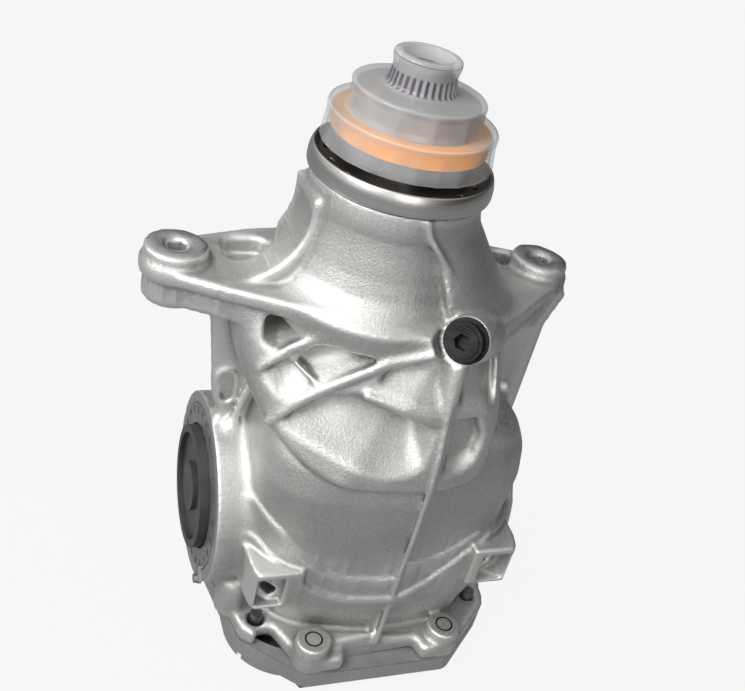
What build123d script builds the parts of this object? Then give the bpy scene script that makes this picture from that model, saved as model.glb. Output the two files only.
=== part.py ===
# Rear differential of a passenger car, as it leaves the assembly line: an aluminium housing with
# a rear cover, a hypoid gear pair, a differential case with bevel gears, and the transport caps.
# Millimetres. The Z axis is the pinion axis with the input end up, the output axis runs along X,
# and Z = 0 is the lowest face of the rear cover, which the unit stands on.
import os
from math import atan2, cos, hypot, log, pi, radians, sin, sqrt, tan

from build123d import *

os.makedirs("parts", exist_ok=True)

# Where the two axes lie
axis_height = 95.0
hypoid_offset = 10.0
case_centre = 18.0
casing_centre = 30.0

# Hypoid gear pair
pinion_teeth = 11
ring_teeth = 37
ring_outer_radius = 84.0
ring_face_width = 27.0
ring_back = 52.0
tooth_slope = 1.1
tooth_thickness_share = 0.5
pinion_addendum_share = 0.165
pinion_dedendum_share = 0.10
ring_root_clearance = 0.9
mesh_clearance = 0.95

# Differential gears
side_teeth = 16
spider_teeth = 10
bevel_cone_distance = 35.0
bevel_face_width = 13.0
bevel_pressure_angle = 25.0
bevel_backlash = 0.25
spider_thickness_share = 0.53
bevel_washer_gap = 0.05
side_hub_length = 12.0
cross_pin_half = 47.0
lock_pin_radius = 2.5
lock_pin_half = 26.0
lock_pin_height = 41.0
working_depth = 1.6
root_clearance = 0.2
side_addendum_share = 0.6
side_back = 27.0
spider_back = 32.2
side_hub_radius = 19.0
side_bore = 13.0
washer_thickness = 1.2
spider_washer_radius = 15.0
side_washer_radius = 26.0
cross_pin_radius = 8.0

# Differential case
case_radius = 49.0
case_wall = 6.0
case_pilot_width = 10.0
case_flange_radius = 78.0
case_flange_thickness = 8.0
case_shoulder_radius = 28.0
case_hub_bore = 15.0
case_bearing_start = 54.0
side_pocket_radius = 32.0
spider_pocket_radius = 22.5
window_radius = 21.0
ring_bolt_circle = 70.0
ring_bolt_count = 10
ring_bolt_radius = 5.0
ring_bolt_depth = 14.0
ring_bolt_head = (8.5, 7.0)

# Bearings: bore radius, outer radius, width
head_bearing = (19.0, 40.0, 24.0)
tail_bearing = (16.0, 33.0, 20.0)
case_bearing = (23.0, 42.0, 20.0)
head_rollers = 12
tail_rollers = 12
case_rollers = 14
roller_clearance = 0.05

# Stations along the pinion axis
head_bearing_bottom = 187.0
tail_bearing_bottom = 268.0
nose_top = 329.0
shield_bottom = 332.0
shield_top = 338.0
shaft_top = 392.0
shim_thickness = 2.0
clamp_gap = 0.02

# Input side
nose_radius = 47.5
shield_radius = 52.0
hub_radius = 21.0
flange_radius = 38.0
flange_bottom = 344.0
flange_thickness = 9.0
nut_across_flats = 41.0
nut_height = 16.0
spline_radius = 12.0
spline_count = 22
shaft_bore = 5.5
seal_outer_radius = 37.0
seal_width = 9.0
sleeve_wall = 1.6
sleeve_bulge = 2.9
seal_setback = 16.0

# Transport cap, from the bottom step to the top one
cap_wall = 2.2
cap_bottom = 346.3
cap_shoulder = 365.0
cap_middle = 379.8
cap_top = 398.4
cap_skirt_radius = 48.1
cap_lower_radius = 45.5
cap_middle_radius = 36.6
cap_top_radius = 18.4
cap_bore = 13.1

# Housing
wall = 6.0
joint_height = 22.0
gasket_thickness = 1.0
flange_top = 34.5
raised_boss_top = 44.5
bolt_boss_radius = 12.0
bolt_radius = 4.0
bolt_head_height = 8.0
bolt_across_flats = 13.0
bolt_length = 30.0
pad_top = 275.5
pad_spread = 114.0
pad_shift = 11.0
pad_radius = 17.7
pad_hole_radius = 6.0
pad_depth = 36.0
pad_step = 2.5
left_arm_pocket = ((-72.0, 20.0), (32.0, 26.0), 11.0)
right_arm_pocket = ((94.0, 23.0), 8.5)
arm_pocket_depth = 14.0
arm_top = 268.0
arm_depth = 22.0
shield_floor = 161.0
left_face = -82.0
boss_radius = 62.0
retainer_radius = 54.0
retainer_length = 26.0
plug_radius = 40.0
plug_proud = 6.0
lug_hole_radius = 5.0

# Outlines along the pinion axis, each stretched round circles: x, y from the output axis, radius
front_circles = ((-18.0, -46.0, 44.0), (30.0, -36.0, 60.0), (70.0, -46.0, 43.0))
brow_circles = ((-66.0, 0.0, 24.0), (30.0, -60.0, 15.0), (72.0, 0.0, 24.0))
brow_back_circles = ((-50.0, 20.0, 24.0), (0.0, 30.0, 30.0), (55.0, 20.0, 24.0))
outline_points = 18
lip_step = 4.0
brow_top = 266.0
bell_radius = 84.0
bell_centres = (-5.0, 25.0)
bell_height = 245.0
pocket_depth = 18.0
pocket_corner = 3.0

# Bearing carrier inside the bell and flare of the nose: height, then circles from the pinion axis
carrier_bottom = 150.0
carrier_sections = (
    (205.0, ((-4.0, -8.0, 57.0), (45.0, 10.0, 34.0))),
    (262.0, ((0.0, -2.0, 48.0),)),
)
flare_sections = (
    (322.0, ((0.0, 0.0, 47.0),)),
    (288.0, ((0.0, 0.0, 52.0), (18.0, -8.0, 48.0))),
    (262.0, ((0.0, 0.0, 58.0), (38.0, -12.0, 47.0))),
)
nose_flare = ((66.0, 266.0), (58.5, 272.0), (53.5, 280.0), (50.5, 290.0), (48.5, 303.0))
gusset_arc = ((-48.0, 320.0), (-57.0, 287.0), (-88.0, 267.0))
gusset_reach = (-16.0, 24.0)
ridge_width = 4.0
ridge_height = 2.5
band_heights = (44.0, 56.0)

# Pockets between the ribs of the front, corners as x and z
rib_pockets = (
    ((-68.0, 255.0), (-46.0, 258.0), (-47.0, 251.0), (-63.0, 238.0), (-71.0, 244.0)),
    ((-38.0, 256.0), (-4.0, 256.0), (-4.0, 251.0), (-42.0, 228.0), (-54.0, 235.0), (-50.0, 243.0)),
    ((-61, 200), (-41, 220), (-18, 238), (-17, 229), (23, 218), (18, 187), (-2, 183), (-40, 193)),
    ((-15.0, 231.0), (-8.0, 245.0), (20.0, 257.0), (25.0, 255.0), (24.0, 223.0)),
    ((34.0, 256.0), (55.0, 247.0), (57.0, 229.0), (34.0, 229.0)),
    ((34.0, 218.0), (50.0, 218.0), (54.0, 205.0), (52.0, 190.0), (43.0, 183.0), (34.0, 184.0)),
)

# Webs under the arms, with the slot and the slanted ribs of the left one, all in x and z
web_thickness = 8.0
web_front = 2.0
left_web = ((-60, 264), (-112, 264), (-100, 236), (-91, 228), (-84, 150), (-60, 150))
right_web = ((60, 264), (124, 264), (120, 240), (116, 150), (60, 140))
web_slot = ((-77.0, 183.0), (24.0, 9.0))
web_ribs = (((-78.0, 138.0), (-64.0, 192.0)), ((-70.0, 98.0), (-50.0, 146.0)))
web_rib_width = 4.0

# Side lugs: place in plan, turn of the front face in degrees, height of the top
lugs = (((-52.0, -72.0), -38.0, 104.0), ((92.0, -76.0), 20.0, 118.0))
lug_width = 44.0
lug_depth = 26.0
lug_height = 36.0
lug_hole_drop = 20.0
lug_hole_depth = 16.0

# Cover bolts: distances from the casing centre and from the output axis, all four ways
bolt_spread = ((46.0, 92.0), (77.0, 64.0), (88.0, 0.0))
raised_bolts = ((-46.0, -92.0), (46.0, -92.0))

gear_space_top = 115.0
dowel_places = ((113.0, -22.0), (-53.0, 42.0))
dowel_radius = 4.0
cover_flange_bottom = 10.0
cover_rib_height = 2.0
cover_rib_spacing = 24.0
cover_rib_length = 62.0
rest_pad_length = 52.0
rest_pad_width = 28.0
ring_space_end = 71.0
pinion_space_radius = 35.0
retainer_step = 9.0
retainer_notches = 24
output_seal_width = 8.0
output_stub_radius = 22.0
lock_angle = 45.0

# Filler plug in its boss
filler_place = (30.0, -71.0, 269.0)
filler_direction = (-0.72, -0.63, 0.29)
filler_radius = 9.0
filler_proud = 7.0
filler_wall = 5.0
filler_boss_length = 30.0
filler_washer = (13.0, 1.5)

# Fits
running_gap = 0.05
body_gap = 0.3
press_gap = 0.02

# Derived places
ratio = ring_teeth / pinion_teeth
right_face = 2 * case_centre - left_face
output_origin = (0, hypoid_offset, axis_height)
output_axis = Axis(output_origin, (1, 0, 0))
output_plane = Plane(origin=output_origin, x_dir=(0, 1, 0), z_dir=(1, 0, 0))
section_plane = Plane(origin=output_origin, x_dir=(1, 0, 0), z_dir=(0, -1, 0))
ring_inner_radius = ring_outer_radius - ring_face_width


def write(shape, name):
    """Label a finished piece and write it."""
    shape.label = name
    export_step(shape, f"parts/{name}.step")


def ring(outer, inner, bottom, height, plane=Plane.XY):
    """A plain ring or tube on a plane."""
    with BuildPart() as piece:
        with BuildSketch(plane.offset(bottom)):
            Circle(outer)
            Circle(inner, mode=Mode.SUBTRACT)
        extrude(amount=height)
    return piece.part


def turned(points, axis, plane=Plane.XZ):
    """A turned piece: a closed outline of (radius or x, height) points about an axis."""
    with BuildPart() as piece:
        with BuildSketch(plane):
            with BuildLine():
                Polyline(*points, close=True)
            make_face()
        revolve(axis=axis)
    return piece.part


# Hypoid pinion and ring gear
# The pitch radius of the pinion grows with the height above the output axis so that the sliding
# direction, and with it the slope of the teeth, is the same all along the face.
def pinion_pitch_radius(height):
    return (height + tooth_slope * hypoid_offset) / ratio


def face_height(radius):
    """Height above the output axis where a circle of the ring gear passes the pinion axis."""
    return sqrt(radius**2 - hypoid_offset**2)


mean_height = face_height(ring_outer_radius - ring_face_width / 2)


def pinion_twist(height):
    """Angle of a pinion tooth at a height, from the slope divided by the pitch radius."""
    start = mean_height + tooth_slope * hypoid_offset
    return -tooth_slope * ratio * log((height + tooth_slope * hypoid_offset) / start)


pinion_pitch_angle = 2 * pi / pinion_teeth
tip_share = 1 + pinion_addendum_share
root_share = 1 - pinion_dedendum_share
flank_slope = tan(radians(20)) * sqrt(1 + tooth_slope**2)


def tooth_half_angle(share):
    """Half the angle of a pinion tooth at a radius given as a share of the pitch radius."""
    half_width = tooth_thickness_share * pinion_pitch_angle / 2 - flank_slope * (share - 1)
    return half_width / share


def pinion_outline(height):
    """Corners of the pinion's section at a height above the output axis."""
    pitch_radius = pinion_pitch_radius(height)
    corners = []
    for tooth in range(pinion_teeth):
        middle = tooth * pinion_pitch_angle + pinion_twist(height)
        for share, side in ((root_share, -1), (tip_share, -1), (tip_share, 1), (root_share, 1)):
            angle = middle + side * tooth_half_angle(share)
            corners.append((share * pitch_radius * cos(angle), share * pitch_radius * sin(angle)))
    return corners


def pinion_reaches(radius, angle, across, turn):
    """Whether a pinion tooth covers a point of the ring gear when the ring has turned so far."""
    beside = hypoid_offset - radius * sin(angle + turn)
    height = radius * cos(angle + turn)
    share = hypot(across, beside) / pinion_pitch_radius(height)
    if share > tip_share + 0.01:
        return False
    offset = atan2(beside, across) - pinion_twist(height) + ratio * turn
    offset = (offset + pinion_pitch_angle / 2) % pinion_pitch_angle - pinion_pitch_angle / 2
    return abs(offset) < tooth_half_angle(max(share, root_share))


def crossing_angle(radius):
    """Angle about the output axis at which a circle of the ring gear passes the pinion axis."""
    return atan2(hypoid_offset, face_height(radius))


def slot_centre(radius):
    """Angle of a ring gear slot at a radius, where the middle of a pinion tooth meets it."""
    return crossing_angle(radius) - pinion_twist(face_height(radius)) / ratio


def slot_edges(radius, across):
    """Angles between which the turning pinion sweeps the ring gear at a radius and a depth."""
    half_pitch = pi / ring_teeth
    steps = 40
    swept = [slot_centre(radius)]
    for step in range(-steps, steps + 1):
        angle = slot_centre(radius) + half_pitch * step / steps
        crossings = (crossing_angle(radius) + half_pitch * number / 12 for number in range(-60, 61))
        if any(pinion_reaches(radius, angle, across, crossing - angle) for crossing in crossings):
            swept.append(angle)
    margin = mesh_clearance / radius
    return min(swept) - margin, max(swept) + margin


head_bottom = face_height(ring_inner_radius)
head_top = face_height(ring_outer_radius)
head_back = axis_height + head_top
back_radius = pinion_pitch_radius(head_top) * root_share
shim_seat = head_bearing_bottom - shim_thickness
ring_tip_share = 1 - 0.6 * pinion_dedendum_share
ring_pitch_face = [pinion_pitch_radius(face_height(r)) for r in (ring_inner_radius, ring_outer_radius)]
head_bearing_top = head_bearing_bottom + head_bearing[2]
tail_bearing_top = tail_bearing_bottom + tail_bearing[2]
seal_bottom = tail_bearing_top + seal_setback
nut_bottom = flange_bottom + flange_thickness

with BuildPart() as pinion_shaft:
    sections = 9
    for number in range(sections):
        height = head_bottom + (head_top - head_bottom) * number / (sections - 1)
        with BuildSketch(Plane.XY.offset(axis_height + height)):
            Polygon(*pinion_outline(height), align=None)
    loft(ruled=True)
    with BuildSketch(Plane.XZ):
        with BuildLine():
            Polyline(
                (0, head_back),
                (back_radius, head_back),
                (back_radius, shim_seat),
                (head_bearing[0] - press_gap, shim_seat),
                (head_bearing[0] - press_gap, head_bearing_top),
                (tail_bearing[0] - press_gap, head_bearing_top + 6),
                (tail_bearing[0] - press_gap, tail_bearing_top + 2),
                (spline_radius + 1, tail_bearing_top + 8),
                (spline_radius + 1, nut_bottom + nut_height + 2),
                (spline_radius, nut_bottom + nut_height + 3),
                (spline_radius, shaft_top - 1.5),
                (spline_radius - 1.5, shaft_top),
                (0, shaft_top),
                close=True,
            )
        make_face()
    revolve(axis=Axis.Z)
    with BuildSketch(Plane.XY.offset(nut_bottom + nut_height + 4)):
        with PolarLocations(spline_radius, spline_count):
            RectangleRounded(1.8, 1.6, 0.3)
    extrude(amount=shaft_top - nut_bottom - nut_height, mode=Mode.SUBTRACT)
    with Locations((0, 0, shaft_top)):
        Hole(shaft_bore, depth=24)
write(pinion_shaft.part, "pinion_shaft")


def bevel_profile(teeth, cone_angle, addendum, dedendum, thickness):
    """Directions from the apex to the corners of a straight bevel gear's section, tooth by tooth.

    The flanks are involutes of the virtual spur gear on the back cone. Each point is given as
    (radius, angle, distance along the gear's axis) on the back cone."""
    pitch_radius = bevel_cone_distance * sin(cone_angle)
    virtual_radius = pitch_radius / cos(cone_angle)
    base_radius = virtual_radius * cos(radians(bevel_pressure_angle))

    def roll(radius):
        """Involute function of the pressure angle at a radius."""
        pressure = sqrt(max(radius**2 - base_radius**2, 0)) / base_radius
        return pressure - atan2(pressure, 1)

    def corner(height, side, middle):
        radius = virtual_radius + height
        half = thickness / 2 / virtual_radius + roll(virtual_radius) - roll(max(radius, base_radius))
        angle = middle + side * half / cos(cone_angle)
        return (
            pitch_radius + height * cos(cone_angle),
            angle,
            bevel_cone_distance * cos(cone_angle) - height * sin(cone_angle),
        )

    corners = []
    heights = (-dedendum, -dedendum / 2, 0, addendum / 2, addendum)
    for tooth in range(teeth):
        middle = 2 * pi * tooth / teeth
        corners += [corner(height, -1, middle) for height in heights]
        corners += [corner(height, 1, middle) for height in reversed(heights)]
    return corners


def bevel_section(corners, distance):
    """The corners carried along their rays from the apex to a plane across the gear's axis."""
    return [(r * distance / z * cos(a), r * distance / z * sin(a)) for r, a, z in corners]


bevel_module = 2 * bevel_cone_distance * sin(atan2(side_teeth, spider_teeth)) / side_teeth
side_angle = atan2(side_teeth, spider_teeth)
spider_angle = atan2(spider_teeth, side_teeth)


def bevel_gear(teeth, cone_angle, addendum, thickness, bore, back, turn, plane):
    """A straight bevel gear with its apex at the plane's origin and its back along the normal."""
    dedendum = (working_depth + root_clearance) * bevel_module - addendum
    corners = bevel_profile(teeth, cone_angle, addendum, dedendum, thickness)
    toe = bevel_cone_distance - bevel_face_width
    near = toe * cos(cone_angle) * 0.8
    far = back + 1
    slant = bevel_cone_distance
    tip_radius = slant * sin(cone_angle) + addendum * cos(cone_angle)
    tip_height = slant * cos(cone_angle) - addendum * sin(cone_angle)
    root_radius = slant * sin(cone_angle) - dedendum * cos(cone_angle) - 1
    root_height = slant * cos(cone_angle) + (dedendum + 1 / cos(cone_angle)) * sin(cone_angle)
    inner = toe / slant
    with BuildPart() as gear:
        for height in (near, far):
            with BuildSketch(Plane.XY.offset(height)):
                Polygon(*bevel_section(corners, height), rotation=turn, align=None)
        loft(ruled=True)
        with BuildSketch(Plane.XZ):
            with BuildLine():
                Polyline(
                    (bore, inner * tip_height),
                    (inner * tip_radius, inner * tip_height),
                    (tip_radius, tip_height),
                    (root_radius, root_height),
                    (root_radius, back),
                    (bore, back),
                    close=True,
                )
            make_face()
        revolve(axis=Axis.Z, mode=Mode.INTERSECT)
    return gear.part.moved(plane.location)


bevel_pitch = pi * bevel_module
side_addendum = side_addendum_share * bevel_module
spider_addendum = (working_depth - side_addendum_share) * bevel_module
apex = (case_centre, hypoid_offset, axis_height)
pinion_up = Plane(origin=apex, x_dir=(-1, 0, 0), z_dir=(0, 0, 1))
pinion_down = Plane(origin=apex, x_dir=(-1, 0, 0), z_dir=(0, 0, -1))
facing_left = Plane(origin=apex, x_dir=(0, 0, 1), z_dir=(-1, 0, 0))
facing_right = Plane(origin=apex, x_dir=(0, 0, 1), z_dir=(1, 0, 0))

for name, plane in (("spider_gear_upper", pinion_up), ("spider_gear_lower", pinion_down)):
    thickness = spider_thickness_share * bevel_pitch - bevel_backlash / 2
    bore = cross_pin_radius + running_gap
    gear = bevel_gear(spider_teeth, spider_angle, spider_addendum, thickness, bore, spider_back, 0, plane)
    write(gear, name)
    washer = ring(spider_washer_radius, bore, spider_back + bevel_washer_gap, washer_thickness, plane)
    write(washer, name.replace("gear", "washer"))

for name, plane in (("side_gear_left", facing_left), ("side_gear_right", facing_right)):
    thickness = (1 - spider_thickness_share) * bevel_pitch - bevel_backlash / 2
    half_tooth = 180 / side_teeth
    gear = bevel_gear(
        side_teeth, side_angle, side_addendum, thickness, side_bore, side_back, half_tooth, plane
    )
    hub = ring(side_hub_radius, side_bore, side_back, side_hub_length, plane)
    with BuildPart() as side_gear:
        add(gear)
        add(hub)
    write(side_gear.part, name)
    washer_bore = side_hub_radius + running_gap
    washer = ring(side_washer_radius, washer_bore, side_back + bevel_washer_gap, washer_thickness, plane)
    write(washer, name.replace("gear", "washer"))

with BuildPart() as cross_pin:
    with BuildSketch(Plane.XY.offset(axis_height - cross_pin_half)):
        with Locations((case_centre, hypoid_offset)):
            Circle(cross_pin_radius)
    extrude(amount=2 * cross_pin_half)
    chamfer(cross_pin.edges().filter_by(GeomType.CIRCLE), 1)
    with BuildSketch(Plane.XZ.offset(-hypoid_offset - lock_pin_half)):
        with Locations((case_centre, axis_height + lock_pin_height)):
            Circle(lock_pin_radius + press_gap)
    extrude(amount=2 * lock_pin_half, mode=Mode.SUBTRACT)
write(cross_pin.part, "cross_pin")

with BuildPart() as cross_pin_lock:
    with BuildSketch(Plane.XZ.offset(-hypoid_offset - lock_pin_half)):
        with Locations((case_centre, axis_height + lock_pin_height)):
            Circle(lock_pin_radius)
            Circle(lock_pin_radius - 0.8, mode=Mode.SUBTRACT)
    extrude(amount=2 * lock_pin_half)
write(cross_pin_lock.part, "cross_pin_lock")

# Ring gear: a turned blank whose slots are swept clear of the pinion's teeth
with BuildPart() as slot:
    stations = 7
    for number in range(stations):
        radius = ring_inner_radius - 1.5 + (ring_face_width + 3) * number / (stations - 1)
        pitch_face = pinion_pitch_radius(face_height(radius))
        centre = slot_centre(radius)
        root = pitch_face * tip_share + ring_root_clearance
        shares = (ring_tip_share - 0.05, 1 + pinion_addendum_share / 2, tip_share)
        low_side = []
        high_side = []
        for share in shares:
            across = pitch_face * share
            low, high = slot_edges(radius, across)
            low_side.append((radius * tan(low - centre), across))
            high_side.append((radius * tan(high - centre), across))
        root_corners = [(low_side[-1][0], root), (high_side[-1][0], root)]
        mouth = pitch_face * (ring_tip_share - 0.2)
        face_corners = [(low_side[0][0] * 1.1, mouth), (high_side[0][0] * 1.1, mouth)]
        outward = (0, -sin(centre), cos(centre))
        along = (0, -cos(centre), -sin(centre))
        at = [output_origin[i] + radius * outward[i] for i in range(3)]
        station = Plane(origin=at, x_dir=along, z_dir=outward)
        outline = [face_corners[0]] + low_side + root_corners + high_side[::-1] + [face_corners[1]]
        with BuildSketch(station):
            Polygon(*outline, align=None)
    loft(ruled=True)

with BuildPart() as ring_gear:
    tip_faces = [ring_tip_share * face for face in ring_pitch_face]
    with BuildSketch(section_plane):
        with BuildLine():
            Polyline(
                (tip_faces[0], ring_inner_radius),
                (tip_faces[1], ring_outer_radius),
                (ring_back - 3, ring_outer_radius),
                (ring_back, ring_outer_radius - 3),
                (ring_back, ring_inner_radius),
                close=True,
            )
        make_face()
    revolve(axis=output_axis)
    slots = [slot.part.rotate(output_axis, 360 / ring_teeth * i) for i in range(ring_teeth)]
    add(slots, mode=Mode.SUBTRACT)
    with BuildSketch(output_plane.offset(ring_back - ring_bolt_depth)):
        with PolarLocations(ring_bolt_circle, ring_bolt_count):
            Circle(ring_bolt_radius + press_gap)
    extrude(amount=ring_bolt_depth, mode=Mode.SUBTRACT)
write(ring_gear.part, "ring_gear")

flange_face = ring_back + case_flange_thickness
with BuildPart() as ring_gear_bolts:
    with BuildSketch(output_plane.offset(ring_back - ring_bolt_depth + 1)):
        with PolarLocations(ring_bolt_circle, ring_bolt_count):
            Circle(ring_bolt_radius)
    extrude(amount=ring_bolt_depth - 1 + case_flange_thickness)
    with BuildSketch(output_plane.offset(flange_face)):
        with PolarLocations(ring_bolt_circle, ring_bolt_count):
            RegularPolygon(ring_bolt_head[0], 6)
    extrude(amount=ring_bolt_head[1])
write(ring_gear_bolts.part, "ring_gear_bolts")

# Differential case: one casting turned at its ends, with pockets, windows and bearing seats
wall_inside = side_back + washer_thickness + 0.1
with BuildPart() as differential_case:
    left_seat = case_centre - case_bearing_start
    right_seat = case_centre + case_bearing_start
    end_wall = wall_inside + case_wall
    seat_radius = case_bearing[0] - press_gap
    with BuildSketch(section_plane):
        with BuildLine():
            Polyline(
                (left_seat - case_bearing[2], case_hub_bore),
                (left_seat - case_bearing[2], seat_radius),
                (left_seat, seat_radius),
                (left_seat, case_shoulder_radius),
                (case_centre - end_wall - 6, case_shoulder_radius + 2),
                (case_centre - end_wall + 2, case_radius),
                (ring_back - case_pilot_width, case_radius),
                (ring_back - case_pilot_width, ring_inner_radius - press_gap),
                (ring_back, ring_inner_radius - press_gap),
                (ring_back, case_flange_radius),
                (flange_face, case_flange_radius),
                (flange_face, case_radius),
                (right_seat - 6, case_shoulder_radius + 2),
                (right_seat, case_shoulder_radius),
                (right_seat, seat_radius),
                (right_seat + case_bearing[2], seat_radius),
                (right_seat + case_bearing[2], case_hub_bore),
                close=True,
            )
        make_face()
    revolve(axis=output_axis)
    with BuildSketch(output_plane.offset(case_centre - wall_inside)):
        Circle(side_pocket_radius)
    extrude(amount=2 * wall_inside, mode=Mode.SUBTRACT)
    hub_end = side_back + side_hub_length + 0.5
    with BuildSketch(output_plane.offset(case_centre - hub_end)):
        Circle(side_hub_radius + running_gap)
    extrude(amount=2 * hub_end, mode=Mode.SUBTRACT)
    spider_seat = spider_back + washer_thickness + 0.1
    with BuildSketch(Plane.XY.offset(axis_height - spider_seat)):
        with Locations((case_centre, hypoid_offset)):
            Circle(spider_pocket_radius)
    extrude(amount=2 * spider_seat, mode=Mode.SUBTRACT)
    with BuildSketch(Plane.XY.offset(axis_height - case_radius - 2)):
        with Locations((case_centre, hypoid_offset)):
            Circle(cross_pin_radius + press_gap)
    extrude(amount=2 * case_radius + 4, mode=Mode.SUBTRACT)
    with BuildSketch(Plane.XZ.offset(-hypoid_offset - case_radius - 2)):
        with Locations((case_centre, axis_height)):
            Circle(window_radius)
    extrude(amount=2 * case_radius + 4, mode=Mode.SUBTRACT)
    with BuildSketch(Plane.XZ.offset(-hypoid_offset - case_radius)):
        with Locations((case_centre, axis_height + lock_pin_height)):
            Circle(lock_pin_radius + press_gap)
    extrude(amount=2 * case_radius, mode=Mode.SUBTRACT)
    with BuildSketch(output_plane.offset(ring_back - 1)):
        with PolarLocations(ring_bolt_circle, ring_bolt_count):
            Circle(ring_bolt_radius + press_gap)
    extrude(amount=case_flange_thickness + 2, mode=Mode.SUBTRACT)
write(differential_case.part, "differential_case")


# Tapered roller bearings
def tapered_bearing(name, sizes, count, plane):
    """An inner cone, its rollers in a cage, and an outer cup, wide end along the plane's normal."""
    bore, outer, width = sizes
    middle_radius = (bore + outer) / 2
    roller_radius = (outer - bore) * 0.215
    roller_length = width * 0.6
    tilt = radians(13)
    half_cone = radians(2)
    reach = roller_radius * cos(half_cone) + roller_clearance

    def race(side, height):
        """Radius of the inner (-1) or outer (1) raceway at a height above the narrow end."""
        slope = tilt + side * half_cone
        touch_radius = middle_radius + side * reach * cos(slope)
        touch_height = width / 2 - side * reach * sin(slope)
        return touch_radius + (height - touch_height) * tan(slope)

    half_rise = roller_length / 2 * cos(tilt)
    rib = width / 2 + half_rise + roller_radius * sin(tilt) + 0.4
    rib_radius = race(-1, rib) + roller_radius * 0.5
    cone = turned(
        [
            (bore, 0),
            (race(-1, 0), 0),
            (race(-1, rib), rib),
            (rib_radius, rib),
            (rib_radius, width),
            (bore, width),
        ],
        Axis.Z,
    )
    write(cone.moved(plane.location), f"{name}_cone")
    cup = turned([(outer, 1), (race(1, 1), 1), (race(1, width), width), (outer, width)], Axis.Z)
    write(cup.moved(plane.location), f"{name}_cup")

    places = []
    for number in range(count):
        around = 2 * pi * number / count
        place = Plane(
            origin=(middle_radius * cos(around), middle_radius * sin(around), width / 2),
            x_dir=(-sin(around), cos(around), 0),
            z_dir=(sin(tilt) * cos(around), sin(tilt) * sin(around), cos(tilt)),
        )
        places.append(place.location)
    taper = roller_length / 2 * tan(half_cone)
    bottom = width / 2 - half_rise - 1.8
    top = width / 2 + half_rise + 1.8
    cage_radius = [middle_radius + (height - width / 2) * tan(tilt) for height in (bottom, top)]
    with BuildPart() as rollers:
        with BuildSketch(Plane.XZ):
            with BuildLine():
                Polyline(
                    (cage_radius[0] - 0.7, bottom),
                    (cage_radius[0] + 0.7, bottom),
                    (cage_radius[1] + 0.7, top),
                    (cage_radius[1] - 0.7, top),
                    close=True,
                )
            make_face()
        revolve(axis=Axis.Z)
        with Locations(*places):
            Box(2 * roller_radius + 0.5, 4, roller_length + 0.6, mode=Mode.SUBTRACT)
            Cone(roller_radius - taper, roller_radius + taper, roller_length)
    write(rollers.part.moved(plane.location), f"{name}_rollers")


head_seat = Plane(origin=(0, 0, head_bearing_top), z_dir=(0, 0, -1))
tail_seat = Plane(origin=(0, 0, tail_bearing_bottom), z_dir=(0, 0, 1))
left_seat_plane = Plane(origin=(left_seat - case_bearing[2], hypoid_offset, axis_height), z_dir=(1, 0, 0))
right_seat_plane = Plane(origin=(right_seat + case_bearing[2], hypoid_offset, axis_height), z_dir=(-1, 0, 0))
tapered_bearing("pinion_head_bearing", head_bearing, head_rollers, head_seat)
tapered_bearing("pinion_tail_bearing", tail_bearing, tail_rollers, tail_seat)
tapered_bearing("case_bearing_left", case_bearing, case_rollers, left_seat_plane)
tapered_bearing("case_bearing_right", case_bearing, case_rollers, right_seat_plane)

# Pieces on the pinion shaft
sleeve_bore = head_bearing[0] + running_gap
shim = ring(back_radius, sleeve_bore, shim_seat + clamp_gap, shim_thickness - 2 * clamp_gap)
write(shim, "pinion_shim")

with BuildPart() as crush_sleeve:
    sleeve_middle = (head_bearing_top + tail_bearing_bottom) / 2
    sleeve_outside = sleeve_bore + sleeve_wall
    sleeve_bottom = head_bearing_top + clamp_gap
    sleeve_top = tail_bearing_bottom - clamp_gap
    with BuildSketch(Plane.XZ):
        with BuildLine():
            outer_line = Spline(
                (sleeve_outside, sleeve_bottom),
                (sleeve_outside + sleeve_bulge, sleeve_middle),
                (sleeve_outside, sleeve_top),
                tangents=((0, 1), (0, 1)),
            )
            Line(outer_line @ 1, (sleeve_bore, sleeve_top))
            inner_line = Spline(
                (sleeve_bore, sleeve_top),
                (sleeve_bore + sleeve_bulge, sleeve_middle),
                (sleeve_bore, sleeve_bottom),
                tangents=((0, -1), (0, -1)),
            )
            Line(inner_line @ 1, outer_line @ 0)
        make_face()
    revolve(axis=Axis.Z)
write(crush_sleeve.part, "crush_sleeve")

with BuildPart() as input_flange:
    hub_bore = spline_radius + 1 + running_gap
    with BuildSketch(Plane.XZ):
        with BuildLine():
            Polyline(
                (hub_bore, tail_bearing_top + 8),
                (tail_bearing[0] + 3, tail_bearing_top + clamp_gap),
                (hub_radius, tail_bearing_top + clamp_gap),
                (hub_radius, flange_bottom),
                (flange_radius, flange_bottom),
                (flange_radius, flange_bottom + flange_thickness),
                (hub_radius + 7, flange_bottom + flange_thickness),
                (hub_radius + 5, nut_bottom),
                (hub_bore, nut_bottom),
                close=True,
            )
        make_face()
    revolve(axis=Axis.Z)
write(input_flange.part, "input_flange")

with BuildPart() as pinion_nut:
    with BuildSketch(Plane.XY.offset(nut_bottom + clamp_gap)):
        RegularPolygon(nut_across_flats / 2, 6, major_radius=False)
        Circle(spline_radius + 1 + running_gap, mode=Mode.SUBTRACT)
    extrude(amount=nut_height)
    with BuildSketch(Plane.XY.offset(nut_bottom + nut_height + clamp_gap)):
        Circle(nut_across_flats / 2 - 1)
        Circle(spline_radius + 1 + running_gap, mode=Mode.SUBTRACT)
    extrude(amount=3)
write(pinion_nut.part, "pinion_nut")

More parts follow.
